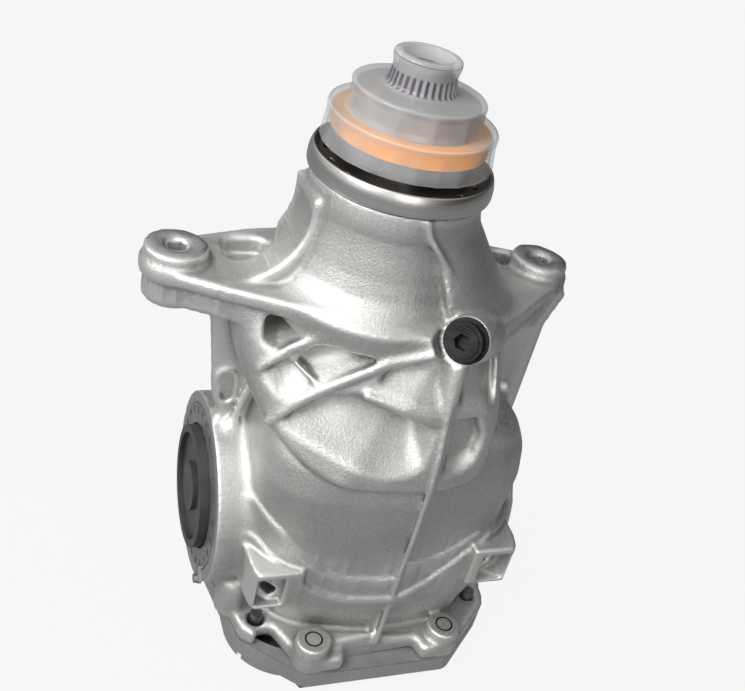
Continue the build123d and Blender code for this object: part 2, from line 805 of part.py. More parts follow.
with BuildPart() as dust_shield:
    with BuildSketch(Plane.XZ):
        with BuildLine():
            Polyline(
                (hub_radius + press_gap, shield_bottom + 1),
                (nose_radius + 1, shield_bottom),
                (shield_radius - 1, shield_bottom),
                (shield_radius, shield_bottom + 1),
                (shield_radius, shield_top - 1),
                (shield_radius - 1, shield_top),
                (shield_radius - 4, shield_top),
                (shield_radius - 8, shield_top - 3),
                (hub_radius + press_gap, shield_top - 1),
                close=True,
            )
        make_face()
    revolve(axis=Axis.Z)
write(dust_shield.part, "dust_shield")

with BuildPart() as pinion_seal:
    with BuildSketch(Plane.XZ):
        with BuildLine():
            Polyline(
                (seal_outer_radius - press_gap, seal_bottom),
                (seal_outer_radius - press_gap, seal_bottom + seal_width),
                (hub_radius + 4, seal_bottom + seal_width),
                (hub_radius + 4, seal_bottom + seal_width + 3),
                (hub_radius + 2, seal_bottom + seal_width + 3),
                (hub_radius + running_gap, seal_bottom + 4),
                (hub_radius + 3, seal_bottom + 1),
                (hub_radius + 5, seal_bottom + 5),
                (seal_outer_radius - 3, seal_bottom + 5),
                (seal_outer_radius - 3, seal_bottom),
                close=True,
            )
        make_face()
    revolve(axis=Axis.Z)
write(pinion_seal.part, "pinion_seal")

# Transport cap with three steps, open at the top, and the liner ring that it grips
with BuildPart() as transport_cap:
    steps_outside = (
        (cap_skirt_radius, cap_bottom),
        (cap_lower_radius, cap_shoulder),
        (cap_middle_radius, cap_shoulder),
        (cap_middle_radius, cap_middle),
        (cap_top_radius, cap_middle),
        (cap_top_radius, cap_top),
    )
    steps_inside = (
        (cap_bore, cap_top),
        (cap_bore, cap_middle - cap_wall),
        (cap_middle_radius - cap_wall, cap_middle - cap_wall),
        (cap_middle_radius - cap_wall, cap_shoulder - cap_wall),
        (cap_lower_radius - cap_wall, cap_shoulder - cap_wall),
        (cap_skirt_radius - cap_wall, cap_bottom),
    )
    with BuildSketch(Plane.XZ):
        with BuildLine():
            Polyline(*steps_outside, *steps_inside, close=True)
        make_face()
    revolve(axis=Axis.Z)
write(transport_cap.part, "transport_cap")

liner_outer = cap_lower_radius - cap_wall - body_gap
liner_bottom = flange_bottom + flange_thickness + body_gap
liner = ring(liner_outer, flange_radius - 4, liner_bottom, cap_shoulder - cap_wall - liner_bottom)
write(liner, "cap_liner")


# Housing
def casing_outline(circles, grow):
    """Circles of the casing outline: the given front ones and the same mirrored to the back."""
    whole = list(circles) + [(x, -y, radius) for x, y, radius in circles]
    return [(x, y + hypoid_offset, radius + grow) for x, y, radius in whole]


def hull_of(circles, plane):
    """The outline stretched round a set of circles on a plane."""
    with BuildSketch(plane) as outline:
        for x, y, radius in circles:
            with Locations((x, y)):
                Circle(radius)
        make_hull()
    return outline.sketch


bolt_places = sorted(
    {
        (casing_centre + side * spread_x, hypoid_offset + way * spread_y)
        for spread_x, spread_y in bolt_spread
        for side in (-1, 1)
        for way in (-1, 1)
    }
)
raised_places = [(casing_centre + x, hypoid_offset + y) for x, y in raised_bolts]
flange_circles = [(x, y, bolt_boss_radius) for x, y in bolt_places]
housing_bottom = joint_height + gasket_thickness
filler_axis = Vector(*filler_direction).normalized()
filler_seat = Vector(*filler_place)
filler_plane = Plane(origin=filler_seat, z_dir=filler_axis)
seat_depth = 14.0


def smooth_face(circles, height):
    """A face at a height whose smooth closed edge runs round a set of circles."""
    middle_x = sum(circle[0] for circle in circles) / len(circles)
    middle_y = sum(circle[1] for circle in circles) / len(circles)

    def support(normal):
        """Distance from the middle to the line that touches the circles in a direction."""
        return max((x - middle_x) * cos(normal) + (y - middle_y) * sin(normal) + r for x, y, r in circles)

    points = []
    for number in range(outline_points):
        toward = 2 * pi * number / outline_points
        normals = [toward + radians(step) for step in range(-80, 81, 4)]
        reach = min(support(normal) / cos(normal - toward) for normal in normals)
        points.append((middle_x + reach * cos(toward), middle_y + reach * sin(toward)))
    with BuildSketch(Plane.XY.offset(height)) as outline:
        with BuildLine():
            Spline(*points, periodic=True)
        make_face()
    return outline.sketch.faces()[0]


def grown(circles, distance):
    """The same circles with their radii changed by a distance."""
    return [(x, y, radius + distance) for x, y, radius in circles]


def bell(distance):
    """The bell-shaped front with its round lower edge, its skin moved out by a distance."""
    with BuildPart() as front:
        low_face = smooth_face(casing_outline(front_circles, lip_step + distance), shield_floor)
        high_face = smooth_face(grown(brow_circles + brow_back_circles, distance), brow_top)
        loft(sections=[low_face, high_face])
        with BuildSketch(Plane.XZ.offset(-150)):
            for x in bell_centres:
                with Locations((x, bell_height)):
                    Circle(bell_radius + distance)
            make_hull()
        extrude(amount=300, mode=Mode.INTERSECT)
    return front.part


def block(corners, near, far):
    """A plate with its outline in x and z, between two places along the y axis."""
    with BuildPart() as plate:
        with BuildSketch(Plane.XZ.offset(-far)):
            Polygon(*corners, align=None)
        extrude(amount=far - near)
    return plate.part


def round_bar(centre, radius, bottom, top):
    """An upright cylinder."""
    with BuildPart() as bar:
        with BuildSketch(Plane.XY.offset(bottom)):
            with Locations(centre):
                Circle(radius)
        extrude(amount=top - bottom)
    return bar.part


def bar_on(plane, radius, start, end):
    """A cylinder along a plane's normal, between two distances from the plane."""
    with BuildPart() as bar:
        with BuildSketch(plane.offset(start)):
            Circle(radius)
        extrude(amount=end - start)
    return bar.part


def cross_bar(radius, start, end):
    """A cylinder about the output axis."""
    return bar_on(output_plane, radius, start, end)


pinion_plane = Plane(origin=(0, 0, 0), x_dir=(-1, 0, 0), z_dir=(0, 0, 1))
casing = casing_outline(front_circles, 0)
inside = casing_outline(front_circles, -wall)
arm_bottom = arm_top - arm_depth
arm_circles = [(-pad_spread, pad_shift, 19), (pad_spread, pad_shift, 19), (0, 0, 57), (30, -61, 14)]
front = hypoid_offset - 96.0
ridge_corners = (
    (front - ridge_height, flange_top),
    (front - ridge_height, shield_floor),
    (front - lip_step - ridge_height, shield_floor),
    (-75 - ridge_height, brow_top - 4),
    (-50, brow_top - 4),
    (-50, flange_top),
)
cup_top = head_bearing_top - 1
tail_cup_bottom = tail_bearing_bottom + 1

with BuildPart() as housing:
    # bell-shaped front with the pockets between its ribs
    add(bell(0))
    with BuildSketch(Plane.XZ) as pockets:
        for corners in rib_pockets:
            Polygon(*corners, align=None)
        fillet(pockets.vertices(), pocket_corner)
    extrude(amount=150, mode=Mode.SUBTRACT)
    add(bell(-pocket_depth))

    # bearing carrier and ring gear dome inside the bell, and the casing below it
    dome = [smooth_face(inside, carrier_bottom)]
    dome += [smooth_face(circles, height) for height, circles in carrier_sections]
    loft(sections=dome)
    extrude(hull_of(casing, Plane.XY.offset(housing_bottom)), amount=carrier_bottom + 12 - housing_bottom)
    for height in band_heights:
        extrude(hull_of(grown(casing, ridge_height), Plane.XY.offset(height)), amount=ridge_width)

    # nose that carries the tail bearing, with its flare to the right and its gusset to the left
    with BuildSketch(Plane.XZ):
        with BuildLine():
            Polyline(
                (0, arm_bottom),
                (nose_flare[0][0], arm_bottom),
                *nose_flare,
                (nose_radius, nose_top - 8),
                (nose_radius, nose_top),
                (0, nose_top),
                close=True,
            )
        make_face()
    revolve(axis=Axis.Z)
    loft(sections=[smooth_face(circles, height) for height, circles in flare_sections])
    with BuildSketch(Plane.XZ.offset(-gusset_reach[1])):
        with BuildLine():
            ThreePointArc(*gusset_arc)
            Polyline(gusset_arc[2], (gusset_arc[2][0], arm_bottom + 2), (0, arm_bottom + 2))
            Polyline((0, arm_bottom + 2), (0, gusset_arc[0][1]), gusset_arc[0])
        make_face()
    extrude(amount=gusset_reach[1] - gusset_reach[0])

    # mounting arms with their machined pads, webs and blind pockets
    extrude(hull_of(arm_circles, Plane.XY.offset(arm_bottom)), amount=arm_depth)
    arm_pieces = [block(outline, web_front, web_front + web_thickness) for outline in (left_web, right_web)]
    for low, high in web_ribs:
        half = web_rib_width / 2
        corners = ((low[0] - half, low[1]), (low[0] + half, low[1]), (high[0] + half, high[1]))
        arm_pieces.append(block((*corners, (high[0] - half, high[1])), web_front - 8, web_front + 1))
    for x in (-pad_spread, pad_spread):
        arm_pieces.append(round_bar((x, pad_shift), pad_radius, arm_top, pad_top))
        arm_pieces.append(round_bar((x, pad_shift), pad_radius + pad_step, pad_top - pad_depth, arm_top - 2))
    add(arm_pieces)
    with BuildSketch(Plane.XY.offset(arm_top - arm_pocket_depth)):
        with Locations(left_arm_pocket[0]):
            RectangleRounded(*left_arm_pocket[1], left_arm_pocket[2])
        with Locations(right_arm_pocket[0]):
            Circle(right_arm_pocket[1])
    extrude(amount=arm_pocket_depth + 6, mode=Mode.SUBTRACT)
    with BuildSketch(Plane.XZ.offset(-web_front - web_thickness - 1)):
        with Locations(web_slot[0]):
            SlotOverall(*web_slot[1], rotation=90)
    extrude(amount=web_thickness + 2, mode=Mode.SUBTRACT)

    # joint flange with its bolt bosses, output bosses, parting ridge, side lugs and filler boss
    extrude(hull_of(flange_circles, Plane.XY.offset(housing_bottom)), amount=flange_top - housing_bottom)
    outside_pieces = [cross_bar(boss_radius, left_face, right_face)]
    for place in raised_places:
        outside_pieces.append(round_bar(place, bolt_boss_radius, flange_top, raised_boss_top))
    for lug_place, lug_turn, lug_top in lugs:
        along = (cos(radians(lug_turn)), sin(radians(lug_turn)), 0)
        with BuildPart() as lug:
            with BuildSketch(Plane(origin=(*lug_place, lug_top), x_dir=along)):
                with Locations((0, lug_depth / 2)):
                    RectangleRounded(lug_width, lug_depth, 4)
            extrude(amount=-lug_height)
        outside_pieces.append(lug.part)
    with BuildPart() as filler_boss:
        with BuildSketch(filler_plane.offset(-filler_boss_length)):
            Circle(filler_radius + filler_wall)
        extrude(amount=filler_boss_length)
    outside_pieces.append(filler_boss.part)
    add(outside_pieces)
    with BuildSketch(Plane.YZ.offset(casing_centre - ridge_width / 2)):
        Polygon(*ridge_corners, align=None)
    extrude(amount=ridge_width)

    # gear space
    with BuildPart() as gear_space:
        extrude(hull_of(inside, Plane.XY.offset(joint_height)), amount=gear_space_top - joint_height)
        add(cross_bar(ring_outer_radius + 4, 15, ring_space_end))
        add(cross_bar(case_radius + 6, left_seat, ring_space_end))
        add(bar_on(pinion_plane, pinion_space_radius, gear_space_top - 15, head_bearing_bottom - 2))
    add(gear_space.part, mode=Mode.SUBTRACT)

    # carriers of the case bearings and backing of the lug holes inside the casing
    carrier_radius = case_bearing[1] + 10
    lug_mouths = []
    for lug_place, lug_turn, lug_top in lugs:
        outward = (sin(radians(lug_turn)), -cos(radians(lug_turn)), 0)
        lug_mouths.append(Plane(origin=(*lug_place, lug_top - lug_hole_drop), z_dir=outward))
    add([
        cross_bar(carrier_radius, left_face + 15, left_seat),
        cross_bar(carrier_radius, ring_space_end, right_face - 15),
        *[bar_on(mouth, lug_hole_radius + wall, -lug_hole_depth - wall, -wall) for mouth in lug_mouths],
    ])

    # bores and holes
    cup_seat_radius = case_bearing[1] + press_gap
    bores = [
        cross_bar(retainer_radius + running_gap, left_face, left_face + retainer_length),
        cross_bar(retainer_radius + running_gap, right_face - retainer_length, right_face),
        cross_bar(cup_seat_radius, left_face, left_seat + 2),
        cross_bar(cup_seat_radius, right_seat - 2, right_face),
        round_bar((0, 0), head_bearing[1] + press_gap, head_bearing_bottom - 4, cup_top),
        round_bar((0, 0), tail_bearing[1] - 4, cup_top, nose_top),
        round_bar((0, 0), tail_bearing[1] + press_gap, tail_cup_bottom, nose_top),
        round_bar((0, 0), seal_outer_radius, seal_bottom, nose_top),
    ]
    for x in (-pad_spread, pad_spread):
        bores.append(round_bar((x, pad_shift), pad_hole_radius, pad_top - pad_depth - 1, pad_top))
    for place in bolt_places:
        bores.append(round_bar(place, bolt_radius + press_gap, joint_height, raised_boss_top))
    for place in dowel_places:
        bores.append(round_bar(place, dowel_radius + press_gap, joint_height, joint_height + 8))
    for mouth in lug_mouths:
        bores.append(bar_on(mouth, lug_hole_radius, -lug_hole_depth, 1))
    bores.append(bar_on(filler_plane, filler_radius + press_gap, -seat_depth, 1))
    bores.append(bar_on(filler_plane, filler_radius + filler_wall, 0, 30))
    add(bores, mode=Mode.SUBTRACT)
write(housing.part, "housing")

# Rear cover, its gasket, dowels and bolts
with BuildPart() as rear_cover:
    cover_joint = Plane.XY.offset(joint_height)
    extrude(hull_of(flange_circles, cover_joint), amount=cover_flange_bottom - joint_height)
    belly = grown(casing, -1)
    extrude(hull_of(belly, cover_joint), amount=cover_rib_height - joint_height)
    for number in range(-2, 3):
        x = casing_centre + number * cover_rib_spacing
        half_length = cover_rib_length - abs(number) * 9
        rib = ((x - 3, cover_flange_bottom), (x - 2, 0), (x + 2, 0), (x + 3, cover_flange_bottom))
        add(block(rib, hypoid_offset - half_length, hypoid_offset + half_length))
    with BuildSketch():
        with Locations((0, hypoid_offset), (2 * casing_centre, hypoid_offset)):
            SlotOverall(rest_pad_length, rest_pad_width, rotation=90)
    extrude(amount=cover_flange_bottom)
    cover_floor = Plane.XY.offset(cover_rib_height + wall)
    extrude(hull_of(inside, cover_floor), amount=joint_height, mode=Mode.SUBTRACT)
    for place in bolt_places:
        add(round_bar(place, bolt_radius + 0.2, 0, joint_height), mode=Mode.SUBTRACT)
        add(round_bar(place, bolt_across_flats / 2 + 2.5, -1, cover_flange_bottom), mode=Mode.SUBTRACT)
    for place in dowel_places:
        add(round_bar(place, dowel_radius + press_gap, joint_height - 8, joint_height), mode=Mode.SUBTRACT)
write(rear_cover.part, "rear_cover")

with BuildPart() as cover_gasket:
    extrude(hull_of(flange_circles, Plane.XY.offset(joint_height)), amount=gasket_thickness)
    extrude(hull_of(inside, Plane.XY.offset(joint_height)), amount=gasket_thickness, mode=Mode.SUBTRACT)
    for place in bolt_places:
        add(round_bar(place, bolt_radius + 0.3, joint_height, housing_bottom), mode=Mode.SUBTRACT)
    for place in dowel_places:
        add(round_bar(place, dowel_radius + 0.3, joint_height, housing_bottom), mode=Mode.SUBTRACT)
write(cover_gasket.part, "cover_gasket")

with BuildPart() as locating_dowels:
    for place in dowel_places:
        add(round_bar(place, dowel_radius, joint_height - 7, joint_height + 7))
write(locating_dowels.part, "locating_dowels")

with BuildPart() as cover_bolts:
    for x, y in bolt_places:
        add(round_bar((x, y), bolt_radius, cover_flange_bottom, cover_flange_bottom + bolt_length))
        add(round_bar((x, y), bolt_across_flats / 2 + 2, cover_flange_bottom - 2, cover_flange_bottom))
        with BuildSketch(Plane.XY.offset(cover_flange_bottom - bolt_head_height)):
            with Locations((x, y)):
                RegularPolygon(bolt_across_flats / 2, 6, major_radius=False)
        extrude(amount=bolt_head_height - 2)
write(cover_bolts.part, "cover_bolts")

# Pieces at the two outputs
for side, facing in (("left", facing_left), ("right", facing_right)):
    reach = right_face - case_centre
    depth = Plane(origin=facing.origin + facing.z_dir * reach, x_dir=facing.x_dir, z_dir=-facing.z_dir)
    with BuildPart() as bearing_retainer:
        with BuildSketch(depth):
            Circle(retainer_radius)
            Circle(case_bearing[1] - 5, mode=Mode.SUBTRACT)
        extrude(amount=retainer_length)
        with BuildSketch(depth):
            Circle(plug_radius + 1)
        extrude(amount=retainer_step, mode=Mode.SUBTRACT)
        with BuildSketch(depth):
            with PolarLocations(retainer_radius - 4, retainer_notches):
                Rectangle(4.5, 5)
        extrude(amount=5, mode=Mode.SUBTRACT)
    write(bearing_retainer.part, f"bearing_retainer_{side}")

    lip_bore = output_stub_radius + running_gap
    with BuildPart() as output_seal:
        with BuildSketch(depth.offset(retainer_step)):
            Circle(case_bearing[1] - 5 - press_gap)
            Circle(lip_bore, mode=Mode.SUBTRACT)
        extrude(amount=output_seal_width)
        with BuildSketch(depth.offset(retainer_step + 2)):
            Circle(case_bearing[1] - 9)
            Circle(lip_bore + 3, mode=Mode.SUBTRACT)
        extrude(amount=output_seal_width, mode=Mode.SUBTRACT)
    write(output_seal.part, f"output_seal_{side}")

    with BuildPart() as output_plug:
        with BuildSketch(depth.offset(-plug_proud)):
            Circle(plug_radius)
        extrude(amount=plug_proud + retainer_step - body_gap)
        with BuildSketch(depth.offset(-plug_proud)):
            Circle(plug_radius - 5)
            Circle(output_stub_radius - 6, mode=Mode.SUBTRACT)
        extrude(amount=3, mode=Mode.SUBTRACT)
        with BuildSketch(depth.offset(retainer_step - body_gap)):
            Circle(output_stub_radius)
        extrude(amount=retainer_length - retainer_step - body_gap)
        with BuildSketch(depth.offset(retainer_length - 2)):
            Circle(case_hub_bore - 0.5)
        extrude(amount=16)
    write(output_plug.part, f"output_plug_{side}")

    with BuildPart() as retainer_lock:
        lock_radius = (retainer_radius + boss_radius) / 2
        with BuildSketch(Plane(origin=depth.origin, x_dir=(0, 0, -1), z_dir=facing.z_dir)):
            with PolarLocations(lock_radius - 1, 1, start_angle=lock_angle):
                RectangleRounded(12, 9, 2)
        extrude(amount=2)
        with BuildSketch(Plane(origin=depth.origin, x_dir=(0, 0, -1), z_dir=facing.z_dir)):
            with PolarLocations(lock_radius + 1.5, 1, start_angle=lock_angle):
                RegularPolygon(3, 6)
        extrude(amount=4.5)
    write(retainer_lock.part, f"retainer_lock_{side}")

washer_radius, washer_height = filler_washer
with BuildPart() as filler_plug:
    add(bar_on(filler_plane, filler_radius, 2 - seat_depth, filler_proud))
    add(bar_on(filler_plane, washer_radius, 0.02, washer_height))
    add(bar_on(filler_plane, filler_radius + 2, washer_height, filler_proud - 1))
    with BuildSketch(filler_plane.offset(filler_proud)):
        RegularPolygon(5, 6)
    extrude(amount=-6, mode=Mode.SUBTRACT)
write(filler_plug.part, "filler_plug")
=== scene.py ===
# %% [markdown]
# # A rear differential, dressed for its portrait
#
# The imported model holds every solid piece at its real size: gears, bearings, bolts and housing.
# This script loads it as a fixed frame and works on the looks. The cast housing, the milky input
# cap and the dust ring get meshes of their own, worked out with numpy, and every piece gets a
# material. All lengths in the formulas are millimetres, the unit of the drawing, and turn into
# metres when a mesh is made.

import bpy
import numpy as np
from mathutils import Matrix, Vector


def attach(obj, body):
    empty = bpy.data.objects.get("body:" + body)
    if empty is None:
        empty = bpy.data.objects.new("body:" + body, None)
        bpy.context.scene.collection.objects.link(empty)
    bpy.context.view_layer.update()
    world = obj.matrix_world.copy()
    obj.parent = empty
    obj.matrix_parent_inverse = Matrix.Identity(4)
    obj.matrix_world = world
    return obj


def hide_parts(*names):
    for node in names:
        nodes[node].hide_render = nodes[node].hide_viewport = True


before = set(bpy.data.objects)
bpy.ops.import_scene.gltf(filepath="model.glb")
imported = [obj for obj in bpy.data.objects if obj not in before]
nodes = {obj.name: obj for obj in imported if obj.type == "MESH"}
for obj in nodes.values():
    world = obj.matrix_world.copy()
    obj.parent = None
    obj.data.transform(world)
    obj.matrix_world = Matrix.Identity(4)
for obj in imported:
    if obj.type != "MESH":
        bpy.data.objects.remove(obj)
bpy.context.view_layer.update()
print(len(nodes), "nodes, CAD box in metres:")

# %% [markdown]
# ## New pieces in the frame
#
# A piece that stands for a packed one has to move with the same body. It could be modelled round
# its own origin and then moved, but a mesh that holds its place in its vertices needs no move at
# all, so one helper makes every new piece that way.

# %% Mesh helper
def add_mesh(name, points, faces, body):
    """A mesh object from points in millimetres and faces, riding on a body of the frame."""
    mesh = bpy.data.meshes.new(name)
    mesh.from_pydata((points / 1000.0).tolist(), [], faces.tolist())
    mesh.validate()
    mesh.update()
    mesh.polygons.foreach_set("use_smooth", np.ones(len(mesh.polygons), bool))
    piece = bpy.data.objects.new(name, mesh)
    bpy.context.scene.collection.objects.link(piece)
    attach(piece, body)
    print(name, len(mesh.vertices), "vertices", len(mesh.polygons), "faces")
    return piece


# %% [markdown]
# ## The housing as one field
#
# The real housing is an aluminium casting. Wherever two walls meet, the mould leaves a fillet, and
# every outer edge is rounded, so flat faces cut from plain solids look wrong at once. It could be
# sculpted or bevelled by hand, but an implicit surface suits a casting better: each wall, boss and
# rib is a function that is negative inside, and a smooth minimum of two functions is their union
# with the fillet already in it. All of them are sampled on one grid of points, and the surface is
# drawn where the value passes zero. The grid is finer at the front, where the thin ribs are.

# %% Grid
TURN = 2.0 * np.pi


def places_along(*runs):
    """Grid places from runs of (start, end, step), each run without its end."""
    return np.concatenate([np.arange(*run) for run in runs]).astype(np.float32)


xs = places_along((-137.6, -92.0, 2.4), (-92.0, 90.0, 1.5), (90.0, 139.0, 2.4))
ys = places_along((-97.2, -20.0, 1.5), (-20.0, 118.0, 2.6))
zs = places_along((18.5, 70.0, 2.0), (70.0, 276.0, 1.5), (276.0, 333.0, 2.0))
gx, gy, gz = xs[:, None, None], ys[None, :, None], zs[None, None, :]


def tell(title, field):
    """Prints how much of the grid's box a field fills."""
    print(title, "fills", round(100.0 * float((field < 0).mean()), 2), "% of the grid's box")


print("grid of", len(xs), "x", len(ys), "x", len(zs), "points")

# %% [markdown]
# ### Unions and cuts with fillets
#
# A plain minimum joins two shapes with a sharp corner. The polynomial minimum below is lower than
# both values by up to a quarter of the fillet, and only where they are close, so a wall far from
# the corner keeps its place. A cut is the same formula with the signs turned.

# %% Unions and cuts
def blend_min(a, b, fillet):
    """Union: b + (a - b) m - f m (1 - m), where m goes from 0 to 1 while b - a passes zero."""
    mix = np.clip(0.5 + 0.5 * (b - a) / fillet, 0.0, 1.0)
    return b + (a - b) * mix - fillet * mix * (1.0 - mix)


def blend_max(a, b, fillet):
    """Intersection of two fields, with the edge rounded off by the fillet."""
    return -blend_min(-a, -b, fillet)


def lowest(fields):
    """Plain union of several fields."""
    result = fields[0]
    for field in fields[1:]:
        result = np.minimum(result, field)
    return result


def slab(field, low, high, edge, along=gz):
    """A field cut off between two places along an axis, with rounded edges."""
    return blend_max(field, np.maximum(low - along, along - high), edge)


def blurred(field, rounds):
    """The field averaged with its neighbours along each axis, several times."""
    result = field
    for axis in (0, 1, 2) * rounds:
        result = (np.roll(result, 1, axis) + 2.0 * result + np.roll(result, -1, axis)) / 4.0
    return result


def part_of(value, start, end):
    """0 at the start, 1 at the end and beyond it, straight in between."""
    return np.clip((value - start) / (end - start), 0.0, 1.0)


def share_of(value, start, end):
    """The same with a smooth beginning and end: t t (3 - 2 t)."""
    t = part_of(value, start, end)
    return t * t * (3.0 - 2.0 * t)


def line_of(points, along=gz):
    """A value that follows straight runs between points (place, value) along one coordinate."""
    places, values = zip(*points)
    return np.interp(along, places, values).astype(np.float32)


# %% [markdown]
# ### Skins round circles
#
# Most walls of the housing are sheets that wrap round a few rounded corners and change slowly with
# height. Each could be a loft between outlines. A tight skin round circles is simpler: it needs
# only centres and radii at a few heights, and it can't fold over itself.

# %% Skins
AXIS_Y, AXIS_Z = 10.0, 95.0        # the output axis runs along x at this place
CASING_X = 30.0                    # middle of the casing along that axis
FINE_TURNS, COARSE_TURNS = np.arange(-180.0, 0.0, 3.0), np.arange(0.0, 180.0, 9.0)
FRONT_TURNS = np.concatenate([FINE_TURNS, COARSE_TURNS]) * TURN / 360.0


def wrapped(sections, along=gx, up=gy, height=gz, angles=FRONT_TURNS):
    """Field of a skin stretched round sets of circles (a, b, radius) at several heights.

    For each angle t the circles reach r(t) = max(a cos t + b sin t + radius), and a point lies
    a cos t + b sin t - r(t) past that line. The field is the largest of these values, and
    between two heights each line moves in proportion. The turns are finer at the front."""
    heights = [place for place, circles in sections]
    field = None
    for angle in angles:
        c, s = np.cos(angle), np.sin(angle)
        reaches = [max(a * c + b * s + radius for a, b, radius in circles)
                   for place, circles in sections]
        limit = reaches[0] if len(sections) == 1 else np.interp(height, heights, reaches)
        beyond = np.float32(c) * along + np.float32(s) * up - np.float32(limit)
        field = beyond if field is None else np.maximum(field, beyond)
    return field


def both_ways(circles, change=0.0):
    """The casing's circles about the output axis and the same mirrored to the back."""
    whole = list(circles) + [(x, -y, radius) for x, y, radius in circles]
    return [(x, y + AXIS_Y, radius + change) for x, y, radius in whole]


# %% Cylinders, plates and beads
def upright(x, y, radius):
    """Field of an endless upright cylinder."""
    return np.hypot(gx - x, gy - y) - radius


def across(radius):
    """Field of an endless cylinder about the output axis."""
    return np.hypot(gy - AXIS_Y, gz - AXIS_Z) - radius


def sides_of(corners, along, up):
    """Distances past each side of a convex outline in two coordinates, positive outside."""
    corners = np.asarray(corners, dtype=float)
    middle = corners.mean(axis=0)
    for start, end in zip(corners, np.roll(corners, -1, axis=0)):
        normal = np.array([end[1] - start[1], start[0] - end[0]]) / np.hypot(*(end - start))
        normal *= -np.sign(normal @ (middle - start))
        yield (np.float32(normal[0]) * (along - np.float32(start[0]))
               + np.float32(normal[1]) * (up - np.float32(start[1])))


def plate(corners, along, up, corner=3.0):
    """Field of an endless bar with a convex outline in two coordinates."""
    field = None
    for beyond in sides_of(corners, along, up):
        field = beyond if field is None else blend_max(field, beyond, corner)
    return field


def rod(start, end, radius):
    """Field of a round-ended rod: the distance to the nearest point of its line, less r."""
    start, end = np.asarray(start, float), np.asarray(end, float)
    line = end - start
    places = (gx, gy, gz)
    share = sum((g - start[i]) * line[i] for i, g in enumerate(places)) / (line @ line)
    share = np.clip(share, 0.0, 1.0).astype(np.float32)
    gap = [g - np.float32(start[i]) - share * np.float32(line[i]) for i, g in enumerate(places)]
    return np.sqrt(gap[0] ** 2 + gap[1] ** 2 + gap[2] ** 2) - radius


def bead(points, radius):
    """Field of a round bead through several points."""
    return lowest([rod(start, end, radius) for start, end in zip(points, points[1:])])


# %% [markdown]
# ## Bell and arms
#
# The front of the housing is a bell: a skin that hangs from the two mounting arms and ends in a
# rounded lip. Two skins make it: one seen from above, one seen from the front, and the bell is
# where both are. The arms are two flat plates of one outline, the lower one a little smaller, as
# the mould's parting leaves them.

# %% Bell skin and arms
CASING = ((-18.0, -46.0, 44.0), (30.0, -36.0, 60.0), (70.0, -46.0, 43.0))
BROW = (
    (-66.0, 0.0, 24.0), (30.0, -60.0, 15.0), (72.0, 0.0, 24.0),
    (-50.0, 20.0, 24.0), (0.0, 30.0, 30.0), (55.0, 20.0, 24.0),
)
LIP = ((-8.0, 247.0, 76.0), (47.0, 190.0, 17.0))
PAD_X, PAD_Y, PAD_TOP, ARM_TOP = 114.0, 11.0, 275.5, 268.0
ARMS = ((-PAD_X, PAD_Y, 19.6), (PAD_X, PAD_Y, 19.6), (0.0, 0.0, 57.0), (30.0, -61.0, 14.0))

skin = wrapped([(161.0, both_ways(CASING, 4.0)), (266.0, BROW)])
lip = wrapped([(0.0, LIP)], gx, gz, gy, np.linspace(-TURN / 2, 0.0, 33))
bell = slab(blend_max(skin, lip, 5.0), 140.0, 264.0, 3.0)
arms = wrapped([(0.0, ARMS)])
arms = np.minimum(slab(arms, 259.0, ARM_TOP, 3.0), slab(arms + 3.5, 245.0, 262.0, 3.0))
bell = blend_min(bell, arms, 3.0)
tell("bell with arms", bell)

# %% [markdown]
# ## Pockets and ribs
#
# The core box leaves pockets between the ribs of the bell. Boxes cut into it would have one depth
# and four equal walls. Here a pocket is a convex outline seen from the front whose sides lean in
# with depth, each with a draft of its own: the side under a rib is steep, and the side over the
# lip runs out softly. The depth counts from the skin, so the floors follow the bell. Round beads
# then go along the walls that are left, and give the ribs their rounded backs.

# %% Pockets
# Each pocket: its depth, the fillet of its soft sides, and its corners (x, z), each with the
# draft of the side that starts there
POCKETS = (
    (24.0, 3.0, ((-71, 249, 0.1), (-69, 256, 0.0), (-45, 258, 0.3), (-48, 251, 0.15),
                 (-62, 238, 0.4), (-70, 241, 0.3))),
    (11.0, 5.0, ((-38, 257, 0.1), (-8, 257, 0.3), (-3, 252, 0.4), (-41, 228, 0.1),
                 (-54, 235, 0.3))),
    (9.0, 4.0, ((-72, 226, 0.1), (-56, 237, 0.1), (-43, 227, 0.2), (-50, 218, 1.2),
                (-60, 214, 1.6))),
    (30.0, 7.0, ((-62, 199, 0.15), (-41, 220, 0.15), (-20, 228, 0.3), (24, 216, 0.4),
                 (20, 187, 1.0), (-2, 181, 1.2), (-42, 192, 1.5))),
    (9.0, 6.0, ((-14, 234, 0.1), (-6, 246, 0.1), (20, 260, 0.5), (26, 256, 0.5),
                (25, 225, 1.4))),
    (6.0, 3.0, ((33, 262, 0.3), (60, 249, 0.2), (58, 226, 1.2), (33, 229, 0.2))),
    (7.0, 3.0, ((33, 221, 0.3), (49, 221, 0.2), (56, 206, 0.5), (53, 190, 0.8),
                (43, 184, 1.0), (33, 185, 0.2))),
)
STEEP_FILLET, SOFT_DRAFT, POCKETS_END = 2.5, 0.8, -4.0
for depth, fillet, corners in POCKETS:
    outline = [(x, z) for x, z, draft in corners]
    cut = -(skin + depth)
    for beyond, (x, z, draft) in zip(sides_of(outline, gx, gz), corners):
        side_fillet = fillet if draft > SOFT_DRAFT else STEEP_FILLET
        cut = blend_max(cut, beyond - draft * skin, side_fillet)
    bell = blend_max(bell, -np.maximum(cut, gy - POCKETS_END), 2.5)
tell("bell with its pockets", bell)

